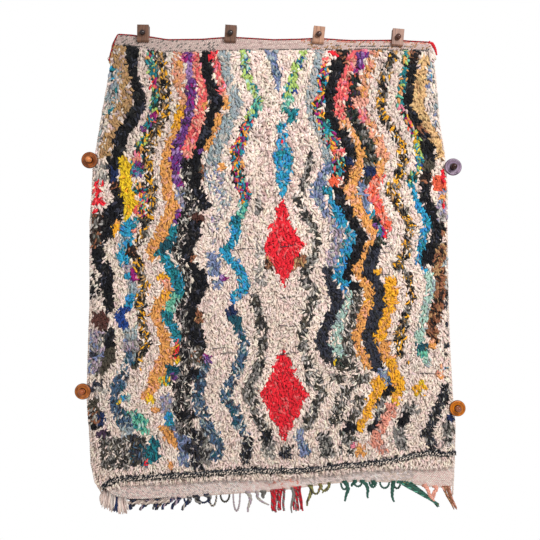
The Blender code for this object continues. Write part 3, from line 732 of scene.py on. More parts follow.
def yarn_at(x, z):
    """Index into COURSES of the course at each place, or -1 in the cream between."""
    across, down = square_at(x), row_at(z)
    found = np.full(np.shape(x), -1)
    for number, course in enumerate(COURSES):
        rows, left, right = np.array(course.turns, float).T
        inside = (down >= rows[0] - 0.5) & (down <= rows[-1] + 0.5)
        inside &= across >= np.interp(down, rows, left)
        inside &= across <= np.interp(down, rows, right)
        found[inside] = number
    return found


def dark_line_at(x, z, rng):
    """Whether each place is on the dark line of knots above the lower band."""
    across, down = np.array(DARK_LINE, float).T
    squares = square_at(x)
    away = row_at(z) - np.interp(squares, across, down)
    inside = (squares > across[0]) & (squares < across[-1])
    return inside & (np.abs(away) < rng.uniform(1.6, 2.7, len(x)))


# Share of the rags that keep to a run of one colour, in plain and in mixed courses
PLAIN_RUNS, MIXED_RUNS = 0.5, 0.12
# How much painted shade darkens the rags towards the two upper corners, where the deep pile holds more
# shadow
CORNER_SHADE = 0.17


def rag_colours(x, z, rng):
    """A rag's colour for each place: its course's mix, in short runs, never quite even, with painted
    shade towards the two upper corners.
    """
    course = yarn_at(x, z)
    line = dark_line_at(x, z, rng)
    runs = np.floor(x / 21.0).astype(int) * 92821 + np.floor(z / 9.0).astype(int) * 689287
    run_pick = np.modf(np.abs(np.sin(runs.astype(float)) * 43758.5453))[0]
    own_pick = rng.random(len(x))
    mixed = [k for k, c in enumerate(COURSES) if c.yarn.endswith(("mix", "multi"))]
    keen = np.where(np.isin(course, mixed), MIXED_RUNS, PLAIN_RUNS)
    specks = [k for k, c in enumerate(COURSES) if c.yarn.endswith("speckle")]
    keen[np.isin(course, specks)] = 0.0
    pick = np.where(rng.random(len(x)) < keen, run_pick, own_pick)
    colours = np.zeros((len(x), 3))
    for number in np.unique(course):
        yarn = "cream" if number < 0 else COURSES[number].yarn
        here = course == number
        colours[here] = pick_rags(MIXES.get(yarn, yarn), pick[here])
    colours[line] = pick_rags(MIXES["line"], own_pick[line])
    shade = np.clip(rng.normal(1.0, 0.1, len(x)), 0.7, 1.35)
    shade *= 1 + 0.06 * ripple(x, z, 180, 31)
    # Painted shade: the rags darken towards the two upper corners
    corner = np.clip((np.abs(x - 130) - 160) / 120, 0, 1) * np.clip((z + 520) / 260, 0, 1)
    shade *= 1 - CORNER_SHADE * corner
    tint = rng.normal(1.0, 0.03, (len(x), 3))
    return np.clip(colours * shade[:, None] * tint, 0.004, 0.92)


def pick_rags(yarn, pick):
    """Colours out of a mixed yarn, by picks from 0 to 1."""
    table = linear([RAGS[name] for name in yarn.split()])
    return table[(pick * len(table)).astype(int) % len(table)]


THIN_YARNS = {"speckle": 0.7, "dark_speckle": 0.7, "grey_speckle": 0.8, "mustard_mix": 0.8}


def thin_rags(x, z):
    """Share of the usual width that the rags of the speckled and mixed courses have."""
    shares = np.array([THIN_YARNS.get(course.yarn, 1.0) for course in COURSES] + [1.0])
    return shares[yarn_at(x, z)]


def paint_mesh(mesh, tones):
    """Gives each corner of the mesh its colour, with any painted shade and highlight in it, which the
    cloth's materials read.
    """
    paint = mesh.attributes.new("rag colour and painted shade", "FLOAT_COLOR", "POINT")
    tones = np.concatenate((tones, np.ones((len(tones), 1))), axis=1)
    paint.data.foreach_set("color", tones.astype(np.float32).ravel())


def add_object(name, data):
    """Object made of a mesh, a lamp or a camera, in the scene."""
    piece = bpy.data.objects.new(name, data)
    bpy.context.scene.collection.objects.link(piece)
    return piece


def strips_mesh(name, centres, across, out, widths, heights, colours, painted_shades):
    """One mesh of many closed strips, three-cornered in section.

    centres, across and out are places and unit directions, by strip and ring; widths and
    heights are by strip and ring; colours is by strip, and the painted shade and painted
    highlight along each strip is by ring.
    """
    count, rings = centres.shape[:2]
    half = (widths / 2)[..., None]
    left = centres - across * half
    right = centres + across * half
    ridge = centres + out * heights[..., None]
    coords = np.stack((left, right, ridge), axis=2).reshape(-1, 3) * MM
    pattern = []
    for ring in range(rings - 1):
        a, b = 3 * ring, 3 * ring + 3
        for one, two in ((0, 1), (1, 2), (2, 0)):
            pattern.append((a + one, b + one, b + two))
            pattern.append((a + one, b + two, a + two))
    last = 3 * rings - 3
    pattern += [(0, 1, 2), (last, last + 2, last + 1)]
    pattern = np.array(pattern)
    if (np.cross(across[0, 0], out[0, 0]) @ (centres[0, 1] - centres[0, 0])) > 0:
        pattern = pattern[:, ::-1]
    faces = (np.arange(count)[:, None, None] * 3 * rings + pattern).reshape(-1, 3)
    mesh = bpy.data.meshes.new(name)
    mesh.from_pydata(coords, [], faces)
    # Painted shade on the two sides of each strip and a painted highlight on its ridge, times the painted
    # shade by ring
    side_painted_shade = np.array((0.84, 0.93, 1.07))
    tones = colours[:, None, None, :] * (painted_shades[:, None] * side_painted_shade)[None, :, :, None]
    paint_mesh(mesh, np.broadcast_to(tones, (count, rings, 3, 3)).reshape(-1, 3))
    cells = int(np.ceil(np.sqrt(count)))
    spots = np.arange(count)
    corner = np.stack((spots % cells, spots // cells), axis=1) / cells
    places = np.array([(side, ring) for ring in range(rings) for side in (0.0, 1.0, 0.5)])
    places = places / (1, max(rings - 1, 1)) * 0.7 + 0.15
    spread = (corner[:, None, :] + places[None] / cells).reshape(-1, 2)
    uv = mesh.uv_layers.new(name="OFBake")
    uv.data.foreach_set("uv", spread[faces.ravel()].astype(np.float32).ravel())
    mesh.update()
    return add_object(name, mesh)


def unit(vectors):
    """The vectors at a length of one."""
    return vectors / np.maximum(np.linalg.norm(vectors, axis=-1, keepdims=True), 1e-9)


def ring_frames(centres, twist):
    """Directions across and outwards at each ring of each strip, turned by its twist."""
    run = np.empty_like(centres)
    run[:, 1:-1] = centres[:, 2:] - centres[:, :-2]
    run[:, 0] = centres[:, 1] - centres[:, 0]
    run[:, -1] = centres[:, -1] - centres[:, -2]
    run = unit(run)
    flat = centres[:, -1] - centres[:, 0]
    flat[:, 1] = 0
    side = unit(np.stack((-flat[:, 2], np.zeros(len(flat)), flat[:, 0]), axis=1))
    side = np.broadcast_to(side[:, None, :], centres.shape)
    out = unit(np.cross(run, side))
    inward = out[..., 1:2] > 0
    out = np.where(inward, -out, out)
    turn = twist[..., None]
    across = side * np.cos(turn) + out * np.sin(turn)
    lifted = out * np.cos(turn) - side * np.sin(turn)
    return across, lifted


def mount(piece, slot, *nodes):
    """Fixes a finished piece to the rug's body, in place of the CAD nodes it stands for."""
    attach(piece, "root")
    if nodes:
        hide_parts(*nodes)


def new_material(name, roughness):
    """Material with its node tree, its shader and texture coordinates ready."""
    finish = bpy.data.materials.new(name)
    finish.use_nodes = True
    tree = finish.node_tree
    shader = tree.nodes["Principled BSDF"]
    shader.inputs["Roughness"].default_value = roughness
    places = tree.nodes.new("ShaderNodeTexCoord")
    return finish, tree, shader, places.outputs["Object"]


def add_noise(tree, places, scale, detail, stretch=(1, 1, 1)):
    """Noise over the piece, with its grain drawn out by the stretch."""
    mapping = tree.nodes.new("ShaderNodeMapping")
    mapping.inputs["Scale"].default_value = stretch
    tree.links.new(places, mapping.inputs["Vector"])
    noise = tree.nodes.new("ShaderNodeTexNoise")
    noise.inputs["Scale"].default_value = scale
    noise.inputs["Detail"].default_value = detail
    tree.links.new(mapping.outputs["Vector"], noise.inputs["Vector"])
    return noise.outputs["Fac"]


def add_ramp(tree, value, stops):
    """Colour ramp from (place, colour) stops, with screen colours."""
    ramp = tree.nodes.new("ShaderNodeValToRGB")
    while len(ramp.color_ramp.elements) < len(stops):
        ramp.color_ramp.elements.new(0.5)
    for element, (place, colour) in zip(ramp.color_ramp.elements, stops):
        element.position = place
        element.color = (*linear(colour), 1)
    tree.links.new(value, ramp.inputs["Fac"])
    return ramp.outputs["Color"]


def add_math(tree, kind, operation, *values):
    """Outputs of a maths node whose inputs are linked, or set to plain values."""
    node = tree.nodes.new(kind)
    node.operation = operation
    for socket, value in zip(node.inputs, values):
        if isinstance(value, bpy.types.NodeSocket):
            tree.links.new(value, socket)
        else:
            socket.default_value = value
    return node.outputs


def add_bump(tree, shader, height, strength, distance):
    """Fine relief in a material, to a depth in millimetres."""
    bump = tree.nodes.new("ShaderNodeBump")
    bump.inputs["Strength"].default_value = strength
    bump.inputs["Distance"].default_value = distance * MM
    tree.links.new(height, bump.inputs["Height"])
    tree.links.new(bump.outputs["Normal"], shader.inputs["Normal"])


def multiply(tree, colour, other):
    """A colour darkened where the other is dark."""
    blend = tree.nodes.new("ShaderNodeMix")
    blend.data_type = "RGBA"
    blend.blend_type = "MULTIPLY"
    blend.inputs["Factor"].default_value = 1.0
    tree.links.new(colour, blend.inputs[6])
    tree.links.new(other, blend.inputs[7])
    return blend.outputs[2]


def add_paint(tree, shader, tone):
    """Uses the colour that paint_mesh gave each corner, darkened by a tone of painted shade."""
    paint = tree.nodes.new("ShaderNodeAttribute")
    paint.attribute_name = "rag colour and painted shade"
    both = multiply(tree, paint.outputs["Color"], tone)
    tree.links.new(both, shader.inputs["Base Color"])


def rag_material(name, fibre_size, strength):
    """Dyed rag: its own colour, with painted shade in fine creases, and a soft cotton sheen."""
    finish, tree, shader, places = new_material(name, 0.88)
    creases = add_noise(tree, places, 1000 / fibre_size, 3)
    # Painted shade: darker where the crease relief is low
    tone = add_ramp(tree, creases, ((0.25, (190, 186, 184)), (0.62, (255, 255, 255))))
    add_paint(tree, shader, tone)
    shader.inputs["Specular IOR Level"].default_value = 0.2
    shader.inputs["Sheen Weight"].default_value = 0.03
    shader.inputs["Sheen Roughness"].default_value = 0.6
    add_bump(tree, shader, creases, strength, 1.0)
    return finish


def pile_places(rng, settings):
    """Roots of the pile's strips in staggered rows, and the bare ends left out."""
    pitch_x, pitch_z = settings.column_pitch / MM, settings.row_pitch / MM
    xs = np.arange(-480, 745, pitch_x)
    zs = np.arange(-30, -1500, -pitch_z)
    x, z = np.meshgrid(xs, zs)
    x = x + (np.arange(len(zs)) % 2)[:, None] * pitch_x / 2
    x = x + rng.uniform(-0.36, 0.36, x.shape) * pitch_x
    z = z + rng.uniform(-0.4, 0.4, z.shape) * pitch_z
    x, z = x.ravel(), z.ravel()
    left, right = sides_at(z)
    share = (x - left) / (right - left)
    keep = (x > left + 1) & (x < right - 1)
    keep &= z < along(HEADING_LINE, share) + 1
    keep &= z > band_top(share) + 2
    keep &= rng.random(len(x)) > np.interp(z, (-700, -60), (0.0, 0.2))
    return x[keep], z[keep], share[keep]


def peg_press(x, z):
    """1 under a peg's disc, fading to 0 around it."""
    press = np.zeros(np.shape(x))
    for peg in PEGS:
        away = np.hypot(x - peg.x, z - peg.z)
        press = np.maximum(press, np.clip((peg.radius + 16 - away) / 18, 0, 1))
    return press


def make_pile(settings):
    """Rag strips rooted in the ground, each out over the next, hooked and drooping."""
    rng = np.random.default_rng(7)
    cloth = Cloth()
    x, z, share = pile_places(rng, settings)
    count = len(x)
    ground = cloth.look(cloth.back, x, z) + FLATWEAVE_THICK - 1
    press = peg_press(x, z)
    front = cloth.look(cloth.front, x, z) + 1.6 * ripple(x, z, 24, 5)
    heights = (-1450, -700, 0)
    lean = np.radians(rng.normal(0, 36, count)) + radians(30) * ripple(x, z, 62, 3)
    lean = np.clip(lean, -1.35, 1.35)
    length = rng.uniform(0.75, 1.25, count) * settings.strip_length / MM
    length *= (1 - 0.3 * press) * np.interp(z, heights, (0.94, 1.0, 1.1))
    room = (z - band_top(share) + 5) / np.cos(lean)
    length = np.minimum(length, np.maximum(room, 7))
    crest = np.minimum(front + rng.uniform(-4.0, 2.5, count), mix(60.0, 19.0, press))
    tip = np.minimum(crest - rng.uniform(1.5, 7, count), mix(60.0, 18.0, press))
    tip = np.maximum(tip, ground + 2)
    hook = rng.uniform(-1, 1, count) * 7.5
    steps = np.array((0.0, 0.16, 0.6, 1.0)) * length[:, None]
    aside = np.array((0.0, 0.0, 0.3, 1.0)) * hook[:, None]
    swell = mix(ground, crest, 0.8)
    depths = np.stack((ground, swell, crest, tip), axis=1)
    centres = np.empty((count, 4, 3))
    run = np.stack((np.sin(lean), -np.cos(lean)), axis=1)
    centres[..., 0] = x[:, None] + run[:, :1] * steps - run[:, 1:] * aside
    centres[..., 1] = -depths
    centres[..., 2] = z[:, None] + run[:, 1:] * steps + run[:, :1] * aside
    left, right = sides_at(centres[..., 2])
    centres[..., 0] = np.clip(centres[..., 0], left - 1.5, right + 1.5)
    twist = np.cumsum(rng.uniform(-0.55, 0.55, (count, 4)), axis=1)
    across, out = ring_frames(centres, twist)
    width = rng.uniform(0.75, 1.2, count) * settings.strip_width / MM
    width *= np.interp(z, heights, (0.78, 0.94, 1.2))
    width *= thin_rags(x, z)
    widths = width[:, None] * np.array((0.6, 1.0, 1.0, 0.7))
    heights = width[:, None] * np.array((0.2, 0.3, 0.32, 0.2))
    middle = centres[:, 2]
    stray = 4.5 * ripple(middle[:, 0], middle[:, 2], 26, 77) + rng.normal(0, 2.2, count)
    colours = rag_colours(middle[:, 0] + stray, middle[:, 2] + rng.normal(0, 2.2, count), rng)
    # Painted shade at each strip's root down in the pile, and a painted highlight at its crest
    painted_shades = np.array((0.55, 0.86, 1.1, 1.0))
    finish = rag_material("rag strips", 1.8, 0.3)
    bands = np.array_split(np.argsort(-z), settings.pieces)
    for number, band in enumerate(bands, 1):
        piece = strips_mesh(
            f"rag_pile_{number}", centres[band], across[band], out[band],
            widths[band], heights[band], colours[band], painted_shades,
        )
        piece.data.materials.append(finish)
        mount(piece, "rag_pile")


def cloth_point(cloth, share, down, outward):
    """A place on the ground at a share of the width and of the length."""
    top = along(TOP_EDGE, share)
    bottom = along(BOTTOM_EDGE, share) + STRIP_DROP
    z = mix(top, bottom, down)
    left, right = sides_at(z)
    x = mix(left, right, share)
    return x, z, cloth.look(cloth.back, x, z) + outward


def ground_material():
    """Plain weave of wool: weft ribs with painted shade in the warp between them, and the pile's knots
    showing behind.
    """
    finish, tree, shader, places = new_material("woven ground", 0.92)
    ribs = add_noise(tree, places, 60, 4, (1.2, 1.0, 7.0))
    threads = add_noise(tree, places, 420, 2, (1.0, 1.0, 0.5))
    # Painted shade: darker where the ribs' relief is low
    tone = add_ramp(tree, ribs, ((0.3, (168, 160, 156)), (0.6, (255, 255, 255))))
    add_paint(tree, shader, tone)
    both = add_math(tree, "ShaderNodeMath", "ADD", ribs, threads)
    add_bump(tree, shader, both[0], 0.8, 1.6)
    shader.inputs["Sheen Weight"].default_value = 0.1
    return finish


def make_ground(settings):
    """The woven ground: a sheet with the heading at its top and the band at its foot."""
    cloth = Cloth()
    bpy.ops.object.select_all(action="DESELECT")
    bpy.ops.mesh.primitive_grid_add(
        x_subdivisions=settings.columns, y_subdivisions=settings.rows, size=2, location=(0, 0, 0)
    )
    ground = bpy.context.object
    ground.name = ground.data.name = "woven_ground"
    flat = np.empty(len(ground.data.vertices) * 3)
    ground.data.vertices.foreach_get("co", flat)
    flat = flat.reshape(-1, 3)
    share, down = flat[:, 0] / 2 + 0.5, 0.5 - flat[:, 1] / 2
    x, z, depth = cloth_point(cloth, share, down, 0.2)
    coords = np.stack((x, -depth, z), axis=1) * MM
    ground.data.vertices.foreach_set("co", coords.ravel())
    plain = linear(RAGS["cream"]) * 0.9 * WOOL_TINT
    colours = mix(plain, rag_colours(x, z, np.random.default_rng(17)), 0.9)
    flat_weave = (z > along(HEADING_LINE, share)) | (z < band_top(share))
    colours[flat_weave] = plain
    paint_mesh(ground.data, colours)
    wall = ground.modifiers.new("cloth thickness", "SOLIDIFY")
    wall.thickness = settings.thickness
    wall.offset = 1.0
    bpy.ops.object.modifier_apply(modifier=wall.name)
    raise_knots(ground.data, cloth, share, x, z, flat_weave)
    ground.data.materials.append(ground_material())
    mount(ground, "rag_pile", "rug")


def raise_knots(mesh, cloth, share, x, z, flat_weave):
    """Lifts the front of the ground into the pile, where its knots stand close together."""
    count = len(mesh.vertices)
    coords = np.empty(count * 3)
    mesh.vertices.foreach_get("co", coords)
    coords = coords.reshape(-1, 3)
    half = count // 2
    front = np.where(coords[:half, 1] < coords[half:, 1], np.arange(half), np.arange(half, count))
    reach = cloth.look(cloth.front, x, z) - KNOT_DEPTH + 1.2 * ripple(x, z, 26, 9)
    edge = np.clip(np.minimum(share, 1 - share) * CLOTH_WIDTH / 26, 0, 1)
    above = np.clip((along(HEADING_LINE, share) - z) / 16, 0, 1)
    below = np.clip((z - band_top(share)) / 16, 0, 1)
    lift = np.where(flat_weave, 0.0, edge * above * below) * (1 - peg_press(x, z))
    depth = -coords[front, 1] / MM
    coords[front, 1] = -mix(depth, np.maximum(depth, reach), lift) * MM
    mesh.vertices.foreach_set("co", coords.ravel())
    mesh.update()


def weave_colours(x, z, rng):
    """Wool of the flat weave: zones across the heading and across the lower band, with painted shade over
    the heading and painted light over the band.
    """
    across = square_at(x)
    upper = z > -700
    table = sorted({name for zone in WEAVE_ZONES for name in zone[3].split()})
    pick = rng.random(len(x))
    names = np.full(len(x), table.index("cream"))
    for low, high, top_part, choice in WEAVE_ZONES:
        here = (across >= low) & (across < high) & (upper == top_part)
        options = [table.index(name) for name in choice.split()]
        names[here] = np.array(options)[(pick[here] * len(options)).astype(int)]
    shade = np.clip(rng.normal(1.0, 0.08, len(x)), 0.7, 1.3)
    # Painted shade over the heading, darkest at its left, and painted light that makes the lower band a
    # fifth lighter
    shade *= np.where(upper, np.interp(across, (110, 220, 300, 430), (0.72, 0.9, 0.92, 0.84)), 1.2)
    wool = linear([RAGS[name] for name in table])[names] * WOOL_TINT
    return np.minimum(wool * shade[:, None], 0.9)


# Flat weave by the chart's squares across: left, right, whether in the heading, and its wools
WEAVE_ZONES = (
    (100, 220, True, "cream cream rose_cream cream"),
    (220, 300, True, "cream rose_cream cream rose_cream"),
    (300, 450, True, "rose_cream cream cream rose_cream cream tan"),
    (90, 180, False, "cream cream rose_cream pale_grey"),
    (180, 240, False, "ivory cream cream pale_grey"),
    (240, 268, False, "ivory rose_cream cream"),
    (268, 300, False, "rose_cream cream rose_cream ivory cream salmon"),
    (300, 385, False, "pale_grey ivory cream"),
    (385, 415, False, "sage_cream pale_grey ivory"),
    (415, 470, False, "rose_cream cream cream"),
)


# Cords of the knotted line: how far up from its middle, and their two plies
KNOT_CORDS = (
    (-4.6, "black", "grey"), (-2.2, "black", "cream"), (2.0, "black", "pale_grey"),
    (4.4, "black", "slate"), (0.0, "black", "cream"), (3.2, "black", "grey"),
)
KNOT_DEPTH = 6.5
WOOL_TINT = np.array((1.0, 0.95, 1.0))


def make_weft_lines(cloth, rng):
    """Dark wefts between rows of pile, the knotted line above the band, the selvedges."""
    store = new_store()
    for row, start, end in WEFT_LINES:
        xs = np.arange(across_from(start), across_from(end), 3.6)
        zs = height_from(row) + 2.5 * np.sin(xs / 17 + row) + (xs - xs[0]) * 0.06
        depth = cloth.look(cloth.front, xs, zs) + 2.4 + 0.8 * np.sin(xs / 6)
        route = np.stack((xs, -depth, zs), axis=1)
        add_plies(store, route, 1.7, 2, 9.0, [linear(RAGS["slate"])] * 2, 0.5, rng)
    across, down = np.array(DARK_LINE, float).T
    xs = np.arange(across_from(across[0]), across_from(across[-1]), 3.1)
    line = height_from(np.interp(square_at(xs), across, down))
    for offset, first, second in KNOT_CORDS:
        stray = np.cumsum(rng.normal(0, 0.7, len(xs)))
        stray = stray - np.convolve(stray, np.ones(25) / 25, "same") + rng.normal(0, 1.1, len(xs))
        zs = line + offset + np.clip(stray, -3.5, 3.5) + 2.4 * np.sin(xs * 0.45 + 1.7 * offset)
        depth = cloth.look(cloth.front, xs, zs) + 1.5 + np.clip(stray[::-1], -2, 2)
        route = np.stack((xs, -depth, zs), axis=1)
        tones = [linear(RAGS[first]), linear(RAGS[second])]
        add_plies(store, route, 4.1, 2, 11.0, tones, 0.8, rng)
    zs = np.arange(-104, -1490, -6.0)
    left, right = sides_at(zs)
    for xs in (left - 3.0, right + 3.0):
        depth = cloth.look(cloth.back, xs, zs) + 4.0
        route = np.stack((xs, -depth, zs), axis=1)
        wools = [linear(RAGS["cream"]), linear(RAGS["rose_cream"]) * 0.85]
        add_plies(store, route, 3.2, 2, 14.0, wools, 1.0, rng)
    lines = plies_piece("weft_lines", store, rag_material("weft yarn", 0.9, 0.4))
    mount(lines, "rag_pile")


def make_stitches(name, places, size, slant, rng, colours, finish):
    """Rows of slanted weft stitches standing a little off the ground."""
    x, z, depth = places
    count = len(x)
    length, width, rise = size
    turn = radians(slant) + rng.normal(0, 0.09, count)
    steps = np.array((-0.5, 0.0, 0.5)) * length
    centres = np.empty((count, 3, 3))
    centres[..., 0] = x[:, None] + np.cos(turn)[:, None] * steps
    centres[..., 2] = z[:, None] + np.sin(turn)[:, None] * steps
    lift = rise * rng.uniform(0.7, 1.25, count)
    centres[..., 1] = -(depth[:, None] + lift[:, None] * np.array((-0.1, 0.55, -0.1)))
    across, out = ring_frames(centres, np.zeros((count, 3)))
    widths = width * rng.uniform(0.9, 1.15, count)[:, None] * np.array((0.55, 1.0, 0.55))
    heights = widths * 0.45
    # Painted shade at the two ends of each stitch, where it tucks into the ground
    piece = strips_mesh(
        name, centres, across, out, widths, heights, colours, np.array((0.75, 1.0, 0.75))
    )
    piece.data.materials.append(finish)
    mount(piece, "rag_pile")


def weave_places(cloth, region, pitch, rng):
    """Stitch places in rows that follow the cloth's edge, in the heading or the band."""
    pitch_x, pitch_z = pitch
    found = []
    xs = np.arange(0, 1.0, pitch_x / CLOTH_WIDTH)
    for row in range(40):
        share = xs + (row % 2) * pitch_x / (2 * CLOTH_WIDTH)
        if region == "heading":
            z = along(TOP_EDGE, share) - 2.6 - row * pitch_z
            keep = (z > along(HEADING_LINE, share) - 3) & (share < 0.998) & (share > 0.004)
        else:
            z = along(BOTTOM_EDGE, share) + STRIP_DROP + 1.6 + row * pitch_z
            keep = (z < band_top(share) + 3) & (share < 0.996) & (share > 0.004)
        share, z = share[keep], z[keep]
        left, right = sides_at(z)
        found.append((mix(left, right, share) + rng.uniform(-0.3, 0.3, len(z)), z))
    x = np.concatenate([item[0] for item in found])
    z = np.concatenate([item[1] for item in found])
    return x, z, cloth.look(cloth.back, x, z) + FLATWEAVE_THICK - 0.4


def make_weave():
    """Twined rows of the heading and the diagonal weave of the lower band."""
    rng = np.random.default_rng(23)
    cloth = Cloth()
    finish = rag_material("weave yarn", 0.9, 0.5)
    x, z, depth = weave_places(cloth, "heading", (7.0, 4.6), rng)
    colours = weave_colours(x, z, rng)
    squares = square_at(x)
    below = edge_height(TOP_EDGE, x) - z
    chance = rng.random(len(x))
    # Dark diagonals of the twill at the left, partly its pattern and partly painted shade in its
    # herringbone
    dark = (np.modf((x + z * 1.5 + 2000) / 14.0)[0] < 0.3) & (x < -40)
    colours[dark & (chance < 0.5)] = linear(RAGS["grey"]) * 0.8
    dotted = (squares > 328) & (squares < 412) & (below > 12) & (below < 19)
    colours[dotted & (chance < 0.5)] = linear(RAGS["grey"]) * 0.7
    reddish = (squares > 300) & ((below < 6) | (below > 26)) & (chance < 0.5)
    colours[reddish] = linear(RAGS["salmon"])
    flecks = (squares > 225) & (squares < 345) & (below > 9) & (below < 16) & (chance < 0.25)
    colours[flecks] = linear(RAGS["rose_grey"])
    # Painted shadow: a dark row at the heading's foot, under the edge of the pile
    foot = z < edge_height(HEADING_LINE, x) + 2
    colours[foot & (chance < 0.8)] = linear(RAGS["grey"]) * 0.5
    make_stitches("heading_stitches", (x, z, depth), (7.4, 4.2, 1.6), 24, rng, colours, finish)
    x, z, depth = weave_places(cloth, "band", (6.0, 4.0), rng)
    colours = weave_colours(x, z, rng)
    make_stitches("band_stitches", (x, z, depth), (6.8, 3.6, 1.3), -30, rng, colours, finish)
    make_weft_lines(cloth, rng)


def lock_routes(bunch, rng):
    """Root place, width and route of each lock of a bunch, as steps right and down."""
    pitch = bunch.width / bunch.locks
    width = pitch - LOCK_SPACE if bunch.locks > 1 else bunch.width
    for lock in range(bunch.locks):
        offset = (lock - (bunch.locks - 1) / 2) * pitch
        drop = bunch.drop * (1 - rng.uniform(0, DROP_SPREAD))
        lean = bunch.lean + offset * (bunch.gather - 1)
        route = [(0.0, 3.0)]
        for step in range(1, 6):
            share = step / 5
            curl = bunch.curl * sin(pi * share)
            if bunch.locks == 1:
                curl += 4.0 * sin(2 * pi * share)
            route.append((lean * share + curl, -drop * share))
        yield lock, bunch.x + offset, width, route


def rounded(route, times):
    """The route with each place drawn towards the two beside it."""
    for _ in range(times):
        route[1:-1] = (route[:-2] + 2 * route[1:-1] + route[2:]) / 4
    return route


def smooth_route(points, count):
    """The route drawn finer, rounded at its turns."""
    points = np.array(points, float)
    steps = np.linspace(0, len(points) - 1, count)
    fine = np.stack([np.interp(steps, np.arange(len(points)), points[:, k]) for k in range(3)], 1)
    return rounded(fine, 3)


def add_plies(store, route, radius, plies, pitch, colours, taper, rng):
    """Two or more plies of a yarn wound round one another, each a closed tube."""
    sides, rows = 5, len(route)
    length = np.concatenate(([0], np.cumsum(np.linalg.norm(np.diff(route, axis=0), axis=1))))
    run = unit(np.gradient(route, axis=0))
    side = unit(np.cross(run, (0.0, -1.0, 0.0)))
    face = unit(np.cross(side, run))
    sizes = np.interp(length / length[-1], (0, 0.45, 1), (1, mix(1, taper, 0.3), taper))
    start = rng.uniform(0, 2 * pi)
    for ply in range(plies):
        turn = start + 2 * pi * ply / plies + 2 * pi * length / pitch
        away = (radius * 0.52 * sizes)[:, None]
        middle = route + (side * np.cos(turn)[:, None] + face * np.sin(turn)[:, None]) * away
        thick = radius * 0.62 * sizes
        base = store["count"]
        for k in range(sides):
            angle = 2 * pi * k / sides
            ring = middle + (side * cos(angle) + face * sin(angle)) * thick[:, None]
            ring[:, 1] = np.minimum(ring[:, 1], -0.3)
            store["coords"].append(ring)
        store["paint"].append(np.tile(colours[ply % len(colours)], (sides * rows, 1)))
        for k in range(sides):
            after = (k + 1) % sides
            for step in range(rows - 1):
                a, b = base + k * rows + step, base + after * rows + step
                store["faces"].append((a, b, b + 1, a + 1))
        store["faces"].append(tuple(base + k * rows for k in reversed(range(sides))))
        store["faces"].append(tuple(base + k * rows + rows - 1 for k in range(sides)))
        store["count"] += sides * rows


def plies_piece(name, store, finish):
    """One mesh of all the yarns that were wound."""
    coords = np.concatenate(store["coords"]) * MM
    mesh = bpy.data.meshes.new(name)
    mesh.from_pydata(coords, [], store["faces"])
    paint_mesh(mesh, np.concatenate(store["paint"]))
    mesh.shade_smooth()
    mesh.materials.append(finish)
    return add_object(name, mesh)


def new_store():
    """Empty lists for the mesh of many yarns."""
    return {"coords": [], "faces": [], "paint": [], "count": 0}


def yarn_colours(names, rng):
    """Colours of the three plies of one lock."""
    picked = [linear(RAGS[name]) for name in names.split("+")]
    return [picked[k % len(picked)] * rng.uniform(0.8, 1.15) for k in range(3)]


def hem_depth(cloth, x):
    """Depth and height of the cloth's foot at a place across."""
    z = edge_height(BOTTOM_EDGE, x) + STRIP_DROP
    return float(cloth.look(cloth.back, x, z)), float(z)


HEM_RADIUS = 2.9


def add_hem(store, cloth, span, colours, rng, radius=HEM_RADIUS):
    """Twisted cord along the foot of the cloth, which the fringe is knotted to."""
    xs = np.linspace(*span, int((span[1] - span[0]) / 3))
    route = []
    swell = radius - HEM_RADIUS
    for x in xs:
        depth, z = hem_depth(cloth, x)
        forward = FLATWEAVE_THICK / 2 + 2.5 * swell
        route.append((x, -depth - forward, z - 0.9 * radius - swell))
    add_plies(store, np.array(route), radius, 2, 4.0 * radius, colours, 1.0, rng)


def make_fringe():
    """Loose warps, loops, hanks and the corner tassel below the foot of the cloth."""
    cloth = Cloth()
    shapes = random.Random(11)
    rng = np.random.default_rng(41)
    finish = rag_material("fringe yarn", 0.8, 0.5)
    left, right = BOTTOM_EDGE[0][0] + 8, BOTTOM_EDGE[-1][0] - 8
    store = new_store()
    cream = [linear(RAGS["cream"]) * 0.95, linear(RAGS["rose_cream"]) * 0.9]
    add_hem(store, cloth, (mix(left, right, 0.075), right), cream, rng)
    rope = [cream[0] * 0.9, cream[1] * 0.62]
    add_hem(store, cloth, ROPE_SPAN, rope, rng, ROPE_RADIUS)
    # Painted shadow of the fold: a dark cord above the rope
    fold_shadow = []
    for x in np.arange(*FOLD_SHADOW_SPAN, 3.0):
        depth, z = hem_depth(cloth, x)
        fold_shadow.append((x, -depth - FLATWEAVE_THICK - 1, z + 3.6))
    add_plies(store, np.array(fold_shadow), 2.2, 2, 9.0, [linear(RAGS["dark_brown"]) * 1.6], 0.6, rng)
    for bunch in FRINGE_BUNCHES:
        add_bunch(store, cloth, bunch, shapes, rng)
    for loop in FRINGE_LOOPS:
        depth, z = hem_depth(cloth, loop.left)
        middle, half = (loop.left + loop.right) / 2, (loop.right - loop.left) / 2
        turns = [pi * k / 12 for k in range(13)]
        points = [
            (middle - half * cos(t), -depth - 2.5, z - 4 - loop.drop * sin(t)) for t in turns
        ]
        colours = yarn_colours(loop.yarn, rng)
        add_plies(store, smooth_route(points, 40), 3.5, 2, 11.0, colours, 1.0, rng)
    mount(plies_piece("loose_fringe", store, finish), "fringe_yarn", "fringe")
    store = new_store()
    add_hem(store, cloth, (mix(left, right, 0.004), mix(left, right, 0.068)), cream, rng)
    mount(plies_piece("corner_hem", store, finish), "tassel_rags")
    mount(make_tassel(cloth, rng), "tassel_rags", "corner_tassel")


